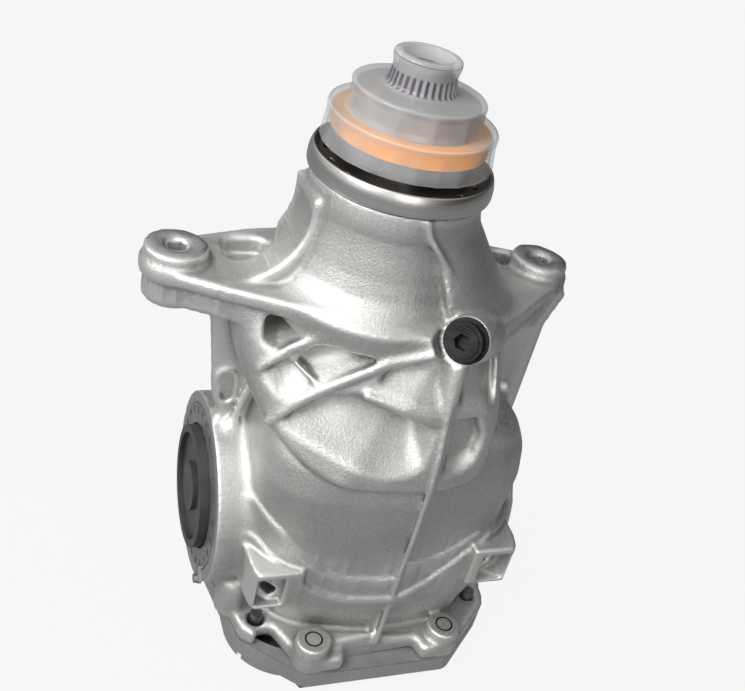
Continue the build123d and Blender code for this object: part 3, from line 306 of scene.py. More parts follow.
# %% Ribs
RIBS = (
    (2.4, ((-70, -36, 226), (-56, -41, 243), (-38, -46, 256))),
    (2.6, ((-64, -48, 197), (-51, -52, 214), (-38, -56, 226), (-8, -64, 249), (21, -72, 262))),
    (2.2, ((-17, -67, 229), (3, -75, 226), (25, -79, 220))),
)
THIN_WEB = ((-55, -42, 236), (-42, -53, 227))
for radius, points in RIBS:
    bell = blend_min(bell, bead(points, radius), 2.5)
bell = blend_min(bell, bead(THIN_WEB, 1.2), 2.0)
tell("bell with its ribs", bell)

# %% [markdown]
# ## Casing and bearing cone
#
# Below the bell the casing wraps round the ring gear and narrows to the joint flange, and above it
# a cone closes in on the pinion bearing. One skin does both, with a section for each change of
# taper, and a little blur takes the facets off. Two low steps run across the front where the mould
# halves were worked over: each is a line of heights along x, and the wall below it stands out.

# %% Casing
CASING_LOW = ((-6.0, -35.0, 39.0), (30.0, -36.0, 46.0), (70.0, -46.0, 33.0))
casing = wrapped([
    (23.0, both_ways(CASING_LOW)),
    (36.0, both_ways(CASING_LOW)),
    (78.0, both_ways(CASING, -3.5)),
    (125.0, both_ways(CASING, -3.0)),
    (158.0, both_ways(CASING, -1.0)),
    (176.0, both_ways(CASING, -4.0)),
    (190.0, both_ways(CASING, -11.0)),
    (212.0, [(0.0, -3.0, 56.0), (45.0, 10.0, 34.0)]),
    (235.0, [(0.0, 0.0, 52.0), (20.0, 5.0, 38.0)]),
    (262.0, [(0.0, 0.0, 47.0)]),
])
casing = blurred(casing, 4)

# %% Steps across the casing
UPPER_STEP = (
    (-60, 134), (-47, 127), (-41, 120), (-31, 110), (-19, 102), (-5, 97), (19, 96), (29, 97),
    (31, 108), (50, 110), (62, 114), (80, 124),
)
LOWER_STEP = (
    (-60, 112), (-41, 102), (-35, 98), (-26, 90), (-16, 85), (-2, 81), (20, 80.5), (31, 82),
    (50, 92), (57, 98), (66, 104), (76, 113), (90, 122),
)
for step, ledge in ((UPPER_STEP, 2.2), (LOWER_STEP, 2.4)):
    below = share_of(line_of(step, gx) + 2.0 - gz, 0.0, 4.0) * part_of(gz, 46.0, 76.0)
    casing = casing - ledge * below * part_of(gy, 10.0, -10.0)
BACK_THICKER = 3.5
casing = casing - BACK_THICKER * part_of(gy, 20.0, 60.0) * part_of(gz, 170.0, 140.0)
casing = slab(casing, 23.0, 262.0, 1.0)
body = blend_min(bell, casing, 1.6 + 0.12 * np.clip(gz - 180.0, 0.0, 40.0))
tell("bell and casing", body)

# %% [markdown]
# ## Nose, flare and gusset
#
# The nose is a turned shape: its field is the distance from the pinion axis less the radius at
# that height. On the right a flare joins it to the arm, and on the left a thin gusset with a
# hollow round edge does. The parting line of the mould shows as a fine crooked ridge.

# %% Nose and flare
NOSE = (
    (150, 40), (262, 66), (266, 66), (272, 59), (280, 54), (290, 51), (303, 48.8), (313, 47.8),
    (315, 48.8), (329, 48.8),
)
nose = slab(np.hypot(gx, gy) - line_of(NOSE), 250.0, 329.0, 1.0)
flare = slab(wrapped([
    (262.0, [(0.0, 0.0, 58.0), (38.0, -12.0, 47.0)]),
    (288.0, [(0.0, 0.0, 50.0), (18.0, -8.0, 48.0)]),
    (322.0, [(0.0, 0.0, 45.0)]),
]), 262.0, 322.0, 3.0)
flare_start = 28.0 - 0.35 * (gz - 262.0)
flare = np.maximum(flare, flare_start - gx)
body = blend_min(body, blend_min(nose, flare, 5.0), 5.0)
tell("body with its nose", body)

# %% Gusset and ridge
GUSSET = ((-91, 263), (-91, 269), (-49, 320), (-20, 320), (-20, 263))
HOLLOW_X, HOLLOW_Z, HOLLOW_RADIUS = -91.0, 309.0, 41.0
NOSE_RIDGE = (
    (0, -48.5, 327), (4, -49, 318), (8, -50.5, 313), (18, -50.5, 301), (30, -48, 285),
    (38, -53, 270),
)
hollow = np.hypot(gx - HOLLOW_X, gz - HOLLOW_Z) - HOLLOW_RADIUS
gusset = blend_max(plate(GUSSET, gx, gz), -hollow, 1.5)
gusset = slab(gusset, -16.5, 23.0, 1.5, gy)
body = blend_min(body, gusset, 2.5)
body = blend_min(body, bead(NOSE_RIDGE, 2.0), 2.0)
tell("body with gusset and ridge", body)

# %% [markdown]
# ## Arms from below: hollows, webs, pads and feet
#
# The arms are lightened by blind hollows and stand on thin webs that run down to the output
# bosses. The left web has a slot and a round hole with rims, and its outer edge slants, which a
# box can't do: the edge is a line of x along z. Each arm ends in a machined pad over a round foot.

# %% Hollows in the arms
LEFT_HOLLOW = (
    (-76.0, 16.0, 10.0), (-67.0, 17.0, 10.0), (-76.0, 25.0, 10.0), (-67.0, 25.0, 10.0),
)
left_hollow = slab(wrapped([(0.0, LEFT_HOLLOW)]), 256.0, 290.0, 3.0)
right_hollow = slab(upright(94.0, 23.0, 9.0), 256.0, 290.0, 3.0)
body = blend_max(body, -np.minimum(left_hollow, right_hollow), 2.0)

# %% Webs under the arms
LEFT_EDGE = ((138, -73), (183, -84), (226, -90), (240, -93), (250, -98), (264, -112))
RIGHT_EDGE = ((128, 112), (150, 118), (180, 118), (240, 118), (250, 121), (264, 126))
SLOT_HOLE = ((-75.5, 176.0, 3.6), (-76.5, 190.0, 3.6))
left_web = blend_max(line_of(LEFT_EDGE) - gx, gx + 55.0, 3.0)
round_hole = np.hypot(gx + 61.0, gz - 143.0) - 4.5
web_holes = np.minimum(wrapped([(0.0, SLOT_HOLE)], gx, gz, gy), round_hole)
left_web = slab(left_web, 2.0, 10.0, 2.0, gy)
left_web = blend_min(left_web, slab(web_holes - 3.5, 0.0, 9.0, 2.0, gy), 3.0)
left_web = blend_max(left_web, -web_holes, 1.5)
left_web = slab(left_web, 138.0, 264.0, 2.0)
web_ribs = np.minimum(rod((-74, -1, 140), (-62, -1, 190), 2.8),
                      rod((-68, -4, 102), (-47, -4, 152), 3.0))
right_web = slab(np.maximum(gx - line_of(RIGHT_EDGE), 60.0 - gx), -14.0, 6.0, 3.0, gy)
right_web = slab(right_web, 128.0, 264.0, 2.0)
body = blend_min(body, np.minimum(left_web, web_ribs), 4.0)
body = blend_min(body, right_web, 5.0)
tell("body with its webs", body)

# %% Pads and feet
FOOT_BOTTOM = 242.0
for x in (-PAD_X, PAD_X):
    pad = slab(upright(x, PAD_Y, 17.7), 260.0, PAD_TOP, 0.6)
    foot = slab(upright(x, PAD_Y, 16.4), FOOT_BOTTOM, 266.0, 4.0)
    body = blend_min(body, blend_min(pad, foot, 3.0), 3.0)
tell("body with pads and feet", body)

# %% [markdown]
# ## Joint flange
#
# The cover is bolted to a flat flange whose edge wraps round the bolts. Two notches lighten its
# front edge, two of its bosses stand up, and a low saddle runs between them. The flange is the
# skin round the bolt circles, so its outline follows them by itself.

# %% Flange
FLANGE_LOW, FLANGE_HIGH, RAISED_HIGH, SADDLE_HIGH = 23.0, 34.5, 42.8, 40.0
BOLTS = [(CASING_X + s * x, AXIS_Y + w * y, 12.0)
         for x, y in ((46, 92), (77, 64), (88, 0)) for s in (-1, 1) for w in (-1, 1)]
NOTCHES = (
    ((-1, -110), (6, -84.5), (56, -83.5), (64, -110)),
    ((-60, -95), (-47, -61), (-38, -61), (-27, -84), (-30, -100)),
)
SADDLE = ((-20, -70), (-12, -86), (6, -84), (56, -83.5), (72, -86), (80, -70))
flange = slab(wrapped([(0.0, BOLTS)]), FLANGE_LOW, FLANGE_HIGH, 1.2)
for notch in NOTCHES:
    flange = blend_max(flange, -plate(notch, gx, gy), 4.0)
for side in (-1, 1):
    raised = upright(CASING_X + side * 46.0, AXIS_Y - 92.0, 11.5)
    flange = blend_min(flange, slab(raised, FLANGE_LOW, RAISED_HIGH, 1.2), 2.5)
saddle = slab(plate(SADDLE, gx, gy), FLANGE_LOW, SADDLE_HIGH, 1.5)
flange = blend_min(flange, saddle, 4.0)
body = blend_min(body, flange, 4.0)
tell("body with its flange", body)

# %% [markdown]
# ## Bosses, front ridge and lugs
#
# Round bosses carry the output bearings, and a ridge with a thin fin under it runs down the front.
# Two square lugs stand beside it. Each has a recess behind its front corner, cut by the plane that
# its threaded hole stands square to, so the hole starts from a flat seat.

# %% Output bosses, bulge and pin boss
body = blend_min(body, slab(across(62.0), -82.0, 118.0, 1.0, gx), 9.0)
body = blend_min(body, slab(across(64.5), 108.0, 118.0, 1.5, gx), 3.0)
body = blend_min(body, slab(upright(-61.0, -38.0, 11.0), 30.0, 60.0, 4.0), 6.0)
body = blend_min(body, rod((72, -36, 214), (84, -42, 214), 4.2), 2.0)

# %% Front ridge
FRONT_RIDGE = (
    (30, -72, 262), (29, -76, 240), (28, -80.5, 222), (28, -85.5, 197), (28, -87.3, 169),
    (28, -86.6, 129), (28, -84.5, 95), (28, -84.0, 36),
)
FIN = ((-60, 34), (-60, 170), (-86, 170), (-84.5, 129), (-83, 95), (-83, 34))
fin = slab(plate(FIN, gy, gz), 26.6, 29.4, 1.0, gx)
body = blend_min(body, np.minimum(bead(FRONT_RIDGE, 1.7), fin), 2.5)
tell("body with bosses and ridge", body)

# %% Lugs
LEFT_LUG = ((-76, -46), (-63, -74), (-62.5, -79.5), (-32, -79.5), (-30, -40), (-60, -36))
RIGHT_LUG = ((77, -86), (105, -86), (109, -78), (111, -45), (76, -45))
left_lug = slab(plate(LEFT_LUG, gx, gy, 1.2), 74.0, 104.0, 1.2)
right_lug = slab(plate(RIGHT_LUG, gx, gy, 1.2), 86.0, 116.0, 1.2)
body = blend_min(body, np.minimum(left_lug, right_lug), 3.0)

# For each lug: the middle of its seat, how many degrees the seat is turned, its window in x and
# z, and how deep in y the recess goes
LUG_SEATS = (
    ((-52.0, -72.0, 84.0), -38.0, (-59.8, -43.0, 76.5, 99.0), -74.0),
    ((92.0, -76.0, 98.0), 20.0, (84.0, 104.0, 88.0, 111.0), -81.0),
)
LUG_HOLE, LUG_HOLE_DEPTH = 5.0, 16.0
lug_holes = []
for place, turn, (left, right, low, high), floor_y in LUG_SEATS:
    c, s = np.cos(np.radians(turn)), np.sin(np.radians(turn))
    beside = (gx - place[0]) * c + (gy - place[1]) * s
    behind = -(gx - place[0]) * s + (gy - place[1]) * c
    window = np.maximum(np.maximum(left - gx, gx - right), np.maximum(low - gz, gz - high))
    recess = np.maximum(window, np.minimum(behind, gy - floor_y))
    body = blend_max(body, -np.maximum(recess, gy + 60.0), 0.8)
    hole = np.hypot(beside, gz - place[2]) - LUG_HOLE
    lug_holes.append(slab(hole, -6.0, LUG_HOLE_DEPTH, 0.2, behind))
tell("body with its lugs", body)

# %% Filler boss
FILLER = (30.0, -71.0, 269.0)
FILLER_DIRECTION = np.array((-0.72, -0.63, 0.29)) / np.linalg.norm((-0.72, -0.63, 0.29))
offset = [g - np.float32(FILLER[i]) for i, g in enumerate((gx, gy, gz))]
filler_depth = sum(o * np.float32(d) for o, d in zip(offset, FILLER_DIRECTION))
filler_aside = np.sqrt(np.maximum(sum(o * o for o in offset) - filler_depth ** 2, 0.0))
body = blend_min(body, slab(filler_aside - 13.6, -30.0, 0.0, 1.0, filler_depth), 2.5)

# %% [markdown]
# ## Bores
#
# The gear space is cast, so it has fillets, and it keeps a least wall: it is only where the casing
# is at least that deep. The machined bores come last and keep sharp edges: the seats of bearings,
# seals and adjusting rings, the bolt holes, and the threaded holes of pads and lugs.

# %% Gear space
LEAST_WALL = 5.5
inside = wrapped([(36.0, both_ways(CASING_LOW, -6.0)), (78.0, both_ways(CASING, -9.0))])
inside = slab(inside, 0.0, 115.0, 4.0)
inside = lowest([
    inside,
    slab(across(88.0), 15.0, 71.0, 3.0, gx),
    slab(across(55.0), -36.0, 71.0, 1.0, gx),
    slab(upright(0.0, 0.0, 35.0), 100.0, 185.0, 1.0),
])
inside = np.maximum(inside, casing + LEAST_WALL)
body = blend_max(body, -inside, 1.0)
for low, high in ((-67.0, -36.0), (71.0, 103.0)):
    body = np.minimum(body, slab(across(52.0), low, high, 1.0, gx))

# %% Machined bores
BORE_EDGE = 0.2
OUTPUT_BORES = (
    (54.0, -100.0, -56.0), (54.0, 92.0, 140.0), (42.0, -100.0, -34.0), (42.0, 70.0, 140.0),
)
PINION_BORES = (
    (40.0, 183.0, 210.0), (29.0, 200.0, 340.0), (33.0, 269.0, 340.0), (37.0, 304.0, 340.0),
)
FILLER_BORES = ((9.2, -14.0, 1.0), (15.6, 0.0, 30.0))
cuts = [slab(across(radius), low, high, BORE_EDGE, gx) for radius, low, high in OUTPUT_BORES]
cuts += [slab(upright(0.0, 0.0, radius), low, high, BORE_EDGE)
         for radius, low, high in PINION_BORES]
cuts += [slab(filler_aside - radius, low, high, BORE_EDGE, filler_depth)
         for radius, low, high in FILLER_BORES]
cuts += lug_holes

# %% Holes and the front limit
PAD_HOLE, BOLT_HOLE, OPEN_HOLE = 6.0, 4.2, 5.6
FRONT_LIMIT = -93.7
cuts += [upright(x, PAD_Y, PAD_HOLE) for x in (-PAD_X, PAD_X)]
cuts += [slab(upright(*bolt[:2], BOLT_HOLE), 0.0, 40.0, BORE_EDGE) for bolt in BOLTS]
cuts.append(slab(upright(*BOLTS[4][:2], OPEN_HOLE), 30.0, 46.0, BORE_EDGE))
cuts.append(gy - FRONT_LIMIT)
body = np.maximum(body, -lowest(cuts))
tell("finished casting", body)

# %% [markdown]
# ## From the field to a mesh
#
# Marching cubes would work, but it leaves slivers along the fillets. Surface nets put one vertex
# into each grid cell that the surface crosses, at the mean of the places where it crosses the
# cell's edges, and one quad round each grid edge that it crosses. The quads are nearly square, and
# a Decimate modifier then takes out what the flat places don't need.

# %% Surface nets
def net_points(field, inside, cells, axes):
    """The vertex of each cell: the mean of the crossings a / (a - b) along its twelve edges."""
    total, crossings = np.zeros((len(cells), 3)), np.zeros(len(cells))
    for axis in range(3):
        others = [a for a in range(3) if a != axis]
        for first, second in ((0, 0), (0, 1), (1, 0), (1, 1)):
            start = np.zeros(3, int)
            start[others[0]], start[others[1]] = first, second
            end = start.copy()
            end[axis] = 1
            a, b = field[tuple((cells + start).T)], field[tuple((cells + end).T)]
            crossed = (a < 0) != (b < 0)
            place = np.tile(start, (len(cells), 1)).astype(float)
            place[:, axis] = np.where(crossed, a / np.where(crossed, a - b, 1.0), 0.0)
            total += place * crossed[:, None]
            crossings += crossed
    share = total / crossings[:, None]
    low = [places[cells[:, a]] for a, places in enumerate(axes)]
    high = [places[cells[:, a] + 1] for a, places in enumerate(axes)]
    return np.stack([low[a] + share[:, a] * (high[a] - low[a]) for a in range(3)], axis=1)


def net_quads(inside, number, axis):
    """One quad round each grid edge along an axis that passes from inside to outside."""
    u, v = [a for a in range(3) if a != axis]
    low_side, high_side = [slice(None)] * 3, [slice(None)] * 3
    low_side[axis], high_side[axis] = slice(0, -1), slice(1, None)
    edges = np.argwhere(inside[tuple(low_side)] != inside[tuple(high_side)])
    edges = edges[(edges[:, u] > 0) & (edges[:, u] < number.shape[u])
                  & (edges[:, v] > 0) & (edges[:, v] < number.shape[v])]
    ring = []
    for du, dv in ((-1, -1), (0, -1), (0, 0), (-1, 0)):
        cell = edges.copy()
        cell[:, u] += du
        cell[:, v] += dv
        ring.append(number[tuple(cell.T)])
    quad = np.stack(ring, axis=1)
    flip = inside[tuple(edges.T)] == (axis == 1)
    quad[flip] = quad[flip][:, ::-1]
    return quad


def surface_net(field, axes):
    """Vertices and quads of the zero surface of a field sampled at the places of three axes."""
    inside = field < 0
    nx, ny, nz = shape = [n - 1 for n in field.shape]
    corners = [(i, j, k) for i in (0, 1) for j in (0, 1) for k in (0, 1)]
    count = sum(inside[i:i + nx, j:j + ny, k:k + nz].astype(np.int8) for i, j, k in corners)
    cells = np.argwhere((count > 0) & (count < len(corners)))
    number = np.full(shape, -1, np.int64)
    number[tuple(cells.T)] = np.arange(len(cells))
    quads = np.concatenate([net_quads(inside, number, axis) for axis in range(3)])
    return net_points(field, inside, cells, axes), quads


# %% Housing mesh
KEPT_SHARE = 0.5
points, quads = surface_net(body, (xs, ys, zs))
housing = add_mesh("housing_casting", points, quads, "casing")
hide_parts("housing")
thinner = housing.modifiers.new("thinner", "DECIMATE")
thinner.ratio = KEPT_SHARE

# %% [markdown]
# ## Lighter edges, and painted shade in the hollows
#
# The casting is painted a little lighter on its outer edges, as rubbed wear and as a painted
# highlight, and darker in its hollows, as painted shade. It could be painted by hand, but both
# follow the curvature, and the field gives that almost for free: its blurred copy less the field
# is positive on an outer edge and negative in a hollow. One number for each vertex goes into an
# attribute that the material reads.

# %% Edge and hollow values
DEEPEST, FULL_EDGE = 6.0, 1.2
near_skin = np.clip(body, -DEEPEST, DEEPEST)
bulge = blurred(near_skin, 4) - near_skin
grid_place = [np.clip(np.searchsorted(places, points[:, a]), 1, len(places) - 1)
              for a, places in enumerate((xs, ys, zs))]
edge_values = np.clip(bulge[tuple(grid_place)] / FULL_EDGE, -1.0, 1.0).astype(np.float32)
edge_attribute = housing.data.attributes.new("edge", "FLOAT", "POINT")
edge_attribute.data.foreach_set("value", edge_values)
print("edge values from", float(edge_values.min()), "to", float(edge_values.max()))

# %% [markdown]
# ## Turned shapes
#
# The cap and the dust ring are turned shapes. Blender's Screw or Spin could sweep them, but both
# carry details that change round the axis, so the whole surface is worked out here: a profile of
# radius and height, its corners rounded first, goes once round the pinion axis as two arrays, and
# a formula may change the radius or the height at any place.

# %% Profiles
def rounded_profile(corners, steps=6):
    """A closed profile from corners (radius, height, rounding).

    Each corner becomes a quadratic curve (1-t)^2 a + 2t(1-t) b + t^2 c between the points a and c
    that lie the rounding away from the corner b along its two sides."""
    spots = np.array([corner[:2] for corner in corners], float)
    cuts = np.array([corner[2] for corner in corners], float)[:, None]
    before = np.roll(spots, 1, axis=0) - spots
    after = np.roll(spots, -1, axis=0) - spots
    before /= np.linalg.norm(before, axis=1, keepdims=True)
    after /= np.linalg.norm(after, axis=1, keepdims=True)
    t = np.linspace(0.0, 1.0, steps)[None, :, None]
    starts, ends = (spots + before * cuts)[:, None], (spots + after * cuts)[:, None]
    curves = (1 - t) ** 2 * starts + 2 * t * (1 - t) * spots[:, None] + t ** 2 * ends
    return curves.reshape(-1, 2)


def divided(profile, longest):
    """The same closed profile with points added so that no run is longer than a length."""
    runs = []
    for start, end in zip(profile, np.roll(profile, -1, axis=0)):
        count = max(int(np.ceil(np.linalg.norm(end - start) / longest)), 1)
        runs.append(start + (end - start) * np.arange(count)[:, None] / count)
    return np.concatenate(runs)


# %% Rings
def turned(profile, around, radius_change=None, height_change=None):
    """A closed ring: x = r cos t, y = r sin t, z = h, for each profile point and angle t."""
    angles = np.arange(around) * TURN / around
    r = np.repeat(profile[:, :1], around, axis=1)
    h = np.repeat(profile[:, 1:], around, axis=1)
    if radius_change is not None:
        r = r + radius_change(r, h, angles[None, :])
    if height_change is not None:
        h = h + height_change(r, h, angles[None, :])
    points = np.stack([r * np.cos(angles), r * np.sin(angles), h], axis=-1).reshape(-1, 3)
    i, j = np.meshgrid(np.arange(len(profile)), np.arange(around), indexing="ij")
    i2, j2 = (i + 1) % len(profile), (j + 1) % around
    quads = np.stack([i * around + j, i * around + j2, i2 * around + j2, i2 * around + j], axis=-1)
    return points, quads.reshape(-1, 4)


def flats(sides, angle):
    """How much a polygon's side lies inside its circle: cos(pi/n) / cos(a) - 1 with a in a side."""
    half = np.pi / sides
    return np.cos(half) / np.cos(np.mod(angle, 2 * half) - half) - 1.0


# %% [markdown]
# ## Transport cap
#
# A thin moulded cap keeps dirt out of the input until the unit is fitted. It has three steps, and
# its wall is not quite round: flats run down the skirt and the middle step, and shallow flutes
# round the top tube. The radius there is that of a polygon, blended in by height.

# %% Cap profile
SKIRT, SHOULDER, MIDDLE, TOP = 346.3, 365.0, 379.8, 398.4
CAP_CORNERS = (
    (48.0, SKIRT, 0.4), (46.2, 360.5, 1.0), (46.6, SHOULDER + 0.2, 1.6),
    (44.4, SHOULDER + 0.2, 0.8), (37.4, SHOULDER - 0.8, 0.8), (36.4, MIDDLE - 0.4, 1.8),
    (21.5, MIDDLE + 0.3, 2.0), (18.2, MIDDLE + 2.0, 1.5), (17.2, 389.5, 2.0),
    (18.4, TOP - 3.2, 1.5), (18.0, TOP, 2.2), (13.2, TOP, 1.4),
    (13.6, 394.0, 2.0), (15.2, 389.0, 2.0), (15.8, MIDDLE - 1.0, 1.0),
    (34.2, MIDDLE - 2.6, 1.0), (34.8, SHOULDER - 2.6, 0.8), (44.2, SHOULDER - 2.4, 1.0),
    (46.0, SKIRT, 0.3),
)
cap_profile = divided(rounded_profile(CAP_CORNERS), 1.6)
print("cap profile of", len(cap_profile), "points")

# %% Cap
SKIRT_FLATS, MIDDLE_FLATS, FLUTES = 24, 12, 30
FLUTE_DEPTH = 0.22


def cap_flats(r, h, angle):
    """Flats on the skirt below its lip and on the middle step, and flutes round the top tube."""
    skirt = (1.0 - share_of(h, 358.5, 360.5)) * share_of(r, 42.0, 44.0)
    middle = share_of(h, 365.5, 367.0) * (1.0 - share_of(h, 376.0, 378.0))
    middle = middle * share_of(r, 33.0, 34.0) * 0.75
    flutes = share_of(h, 380.5, 382.0) * (1.0 - share_of(h, 388.0, 389.5))
    flutes = flutes * share_of(19.0 - r, 0.0, 0.5)
    panels = skirt * flats(SKIRT_FLATS, angle) + middle * flats(MIDDLE_FLATS, angle + 0.1)
    return r * panels + FLUTE_DEPTH * flutes * np.cos(FLUTES * angle)


cap_points, cap_quads = turned(cap_profile, 360, cap_flats)
cap = add_mesh("input_transport_cap", cap_points, cap_quads[:, ::-1], "input_cap")
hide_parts("transport_cap")

# %% [markdown]
# ## Dust ring
#
# A pressed steel ring is clamped under the input flange and keeps dust off the seal: a dished face,
# a rolled lip and a band that hangs down over the nose. A row of oval slots goes round the dish.
# Holes through a sheet this thin would need a cut mesh. Slots sunk into it and painted black look
# the same, the black being painted shade for the dark seen through a hole, and they are one more
# formula: the height drops where the distance to the nearest slot's middle line is small.

# %% Dust ring
RING_CORNERS = (
    (25.8, 333.0, 0.3), (46.0, 331.4, 0.5), (49.8, 330.2, 0.4), (51.3, 330.0, 0.5),
    (52.0, 331.6, 1.0), (51.8, 338.0, 3.0), (50.2, 341.8, 0.8), (48.8, 341.6, 0.8),
    (46.6, 338.6, 1.2), (42.5, 338.0, 1.5), (34.0, 337.3, 2.0), (25.8, 337.0, 0.3),
)
SLOTS, SLOT_TURN, SLOT_CIRCLE = 16, 0.109, 42.5
SLOT_HALF, SLOT_DEPTH = 1.2, 1.6


def slot_depth(r, h, angle):
    """Slots sunk into the dished face, spaced evenly round the ring."""
    beside = (np.mod(angle + SLOT_TURN, TURN / SLOTS) - TURN / SLOTS / 2) * r
    across_slot = np.hypot(np.maximum(np.abs(beside) - SLOT_HALF, 0.0), r - SLOT_CIRCLE)
    return -SLOT_DEPTH * (1.0 - share_of(across_slot, 0.8, 1.4)) * share_of(h, 336.6, 337.0)


ring_profile = divided(rounded_profile(RING_CORNERS), 0.7)
ring_points, ring_quads = turned(ring_profile, 540, None, slot_depth)
dust_ring = add_mesh("dust_ring", ring_points, ring_quads, "pinion")
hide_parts("dust_shield")

# %% [markdown]
# ## Materials as sums
#
# A finish could be put together in the Shader Editor, but every one here is a short formula, and a
# formula is easier to read than its nodes. A small class stands for a value inside a material:
# adding or multiplying two of them puts a Math node in place, and one method makes any other node.
# The numbers that vary over a surface feed the colour, the roughness or a bump, and the rest are
# set on the shader itself.

# %% Values in a material
class Wire:
    """A value on its way through a material. Python's sums on it become Math nodes."""

    def __init__(self, tree, socket):
        self.tree, self.socket = tree, socket

    def node(self, kind, values=(), settings=(), output=0):
        """Adds a node with its settings and its inputs, and gives one of its outputs."""
        made = self.tree.nodes.new("ShaderNode" + kind)
        for name, setting in dict(settings).items():
            setattr(made, name, setting)
        for name, value in dict(values).items():
            if isinstance(value, Wire):
                self.tree.links.new(value.socket, made.inputs[name])
            else:
                made.inputs[name].default_value = value
        return Wire(self.tree, made.outputs[output])

    def math(self, operation, *values):
        """A Math node on the values, all of them given in their order."""
        return self.node("Math", dict(enumerate(values)), {"operation": operation})

    def __add__(self, other):
        return self.math("ADD", self, other)

    def __sub__(self, other):
        return self.math("SUBTRACT", self, other)

    def __mul__(self, other):
        return self.math("MULTIPLY", self, other)

    def __truediv__(self, other):
        return self.math("DIVIDE", self, other)

    def __rsub__(self, other):
        return self.math("SUBTRACT", other, self)

    def __rtruediv__(self, other):
        return self.math("DIVIDE", other, self)

    __radd__, __rmul__ = __add__, __mul__

    def part(self, axis):
        """One coordinate, in millimetres."""
        return self.node("SeparateXYZ", {0: self}, output="XYZ".index(axis)) * 1000.0

    def parts(self):
        """All three coordinates, in millimetres."""
        return [self.part(axis) for axis in "XYZ"]

    def away(self, *others):
        """Square root of the sum of squares of this value and others."""
        total = self * self
        for other in others:
            total = total + other * other
        return total.math("SQRT", total)

    def ramp(self, low, high, start=0.0, end=1.0):
        """Goes from start to end while the value goes from low to high, and stays there."""
        values = {"Value": self, "From Min": low, "From Max": high, "To Min": start, "To Max": end}
        return self.node("MapRange", values, {"interpolation_type": "SMOOTHSTEP"})

    def noise(self, scale, detail=2.0, rough=0.5, stretch=None):
        """Smooth random values between 0 and 1, with so many spots to the metre."""
        place = self
        if stretch is not None:
            place = self.node("Mapping", {"Vector": self, "Scale": stretch})
        values = {"Vector": place, "Scale": scale, "Detail": detail, "Roughness": rough}
        return place.node("TexNoise", values)

    def colours(self, low, high):
        """A colour between two others, plain or worked out, by a value from 0 to 1."""
        low, high = (c if isinstance(c, Wire) else (*c, 1.0) for c in (low, high))
        return self.node("Mix", {0: self, 6: low, 7: high}, {"data_type": "RGBA"}, 2)

    def wave(self):
        """A sine of the value, between 0 and 1."""
        return self.math("SINE", self) * 0.5 + 0.5

    def capped(self):
        """The value, but no more than 1."""
        return self.math("MINIMUM", self, 1.0)

    def bump(self, strength, distance):
        """A surface normal from a height."""
        return self.node("Bump", {"Strength": strength, "Distance": distance, "Height": self})


# %% Material helper
FINISHES = {}


def material(name, recipe, **constants):
    """A Principled material: constants on its own sockets, and what varies from a recipe."""
    made = bpy.data.materials.new(name)
    made.use_nodes = True
    tree = made.node_tree
    shader = tree.nodes["Principled BSDF"]
    for socket, value in constants.items():
        shader.inputs[socket.replace("_", " ")].default_value = value
    place = Wire(tree, tree.nodes.new("ShaderNodeTexCoord").outputs["Object"])
    for socket, wire in recipe(place).items():
        tree.links.new(wire.socket, shader.inputs[socket])
    FINISHES[name] = made
    print("finish", name, "of", len(tree.nodes), "nodes")


# %% [markdown]
# ### Machined places on the casting
#
# The casting is one mesh, but its pads, output faces and the nose's top are machined. They could
# be faces with a material of their own. Masks made from the place on the casting are sharper than
# the mesh, and they need no selection: each is 1 where the place is inside a few limits.

# %% Masks
MACHINED_BORE, OUTPUT_FACE = 54.4, 63.0


def near_pad(place):
    """1 on the machined tops of the two mounting pads, and the distance from a pad's axis."""
    x, y, z = place.parts()
    aside = (x.math("ABSOLUTE", x) - PAD_X).away(y - PAD_Y)
    return aside.ramp(17.9, 17.4) * z.ramp(PAD_TOP - 0.8, PAD_TOP - 0.3), aside


def at_outputs(place):
    """1 on the machined faces and bores at the outputs, and the distance from their axis."""
    x, y, z = place.parts()
    aside = (y - AXIS_Y).away(z - AXIS_Z)
    ends = x.ramp(-81.4, -81.8) + x.ramp(117.4, 117.8)
    ends = ends * aside.ramp(OUTPUT_FACE + 0.5, OUTPUT_FACE)
    bore = aside.ramp(MACHINED_BORE + 0.6, MACHINED_BORE) * x.ramp(-50.0, -52.0)
    return (ends + bore).capped(), aside


STUD_XS, STUD_Y = (-16.0, 76.0), -82.0


def stud_gap_shade(place):
    """1 on a thin circle round the bolt end in each raised boss of the flange, where black is
    painted as the shade in the gap round the bolt.
    """
    x, y, z = place.parts()
    asides = [(x - stud_x).away(y - STUD_Y) for stud_x in STUD_XS]
    rings = sum(aside.ramp(4.6, 5.0) * aside.ramp(6.2, 5.8) for aside in asides)
    return rings * z.ramp(42.0, 42.4) * z.ramp(44.4, 44.0)


# %% [markdown]
# ### Cast aluminium
#
# Shot blasting leaves a fine sparkling grain. A picture of it would need its seams hidden on a
# shape like this, while noise has none: a bump from two noises, and a roughness that varies with
# them. Machined places carry tool marks in circles instead, waves of the distance from the axis.

# %% Cast and machined aluminium
CAST_DARK, CAST_LIGHT = (0.42, 0.415, 0.405), (0.60, 0.595, 0.585)
# The light edge colour is rubbed wear with a painted highlight, and the dark hollow colour is
# painted shade.
EDGE_WEAR_AND_HIGHLIGHT, HOLLOW_PAINTED_SHADE = (0.78, 0.77, 0.76), (0.26, 0.255, 0.245)
PAD_DARK, PAD_LIGHT = (0.42, 0.42, 0.43), (0.82, 0.82, 0.81)
FACE_DARK, FACE_LIGHT = (0.24, 0.24, 0.245), (0.42, 0.42, 0.425)
# The black of the bolt rings is painted shade.
GAP_PAINTED_SHADE = (0.03, 0.03, 0.03)


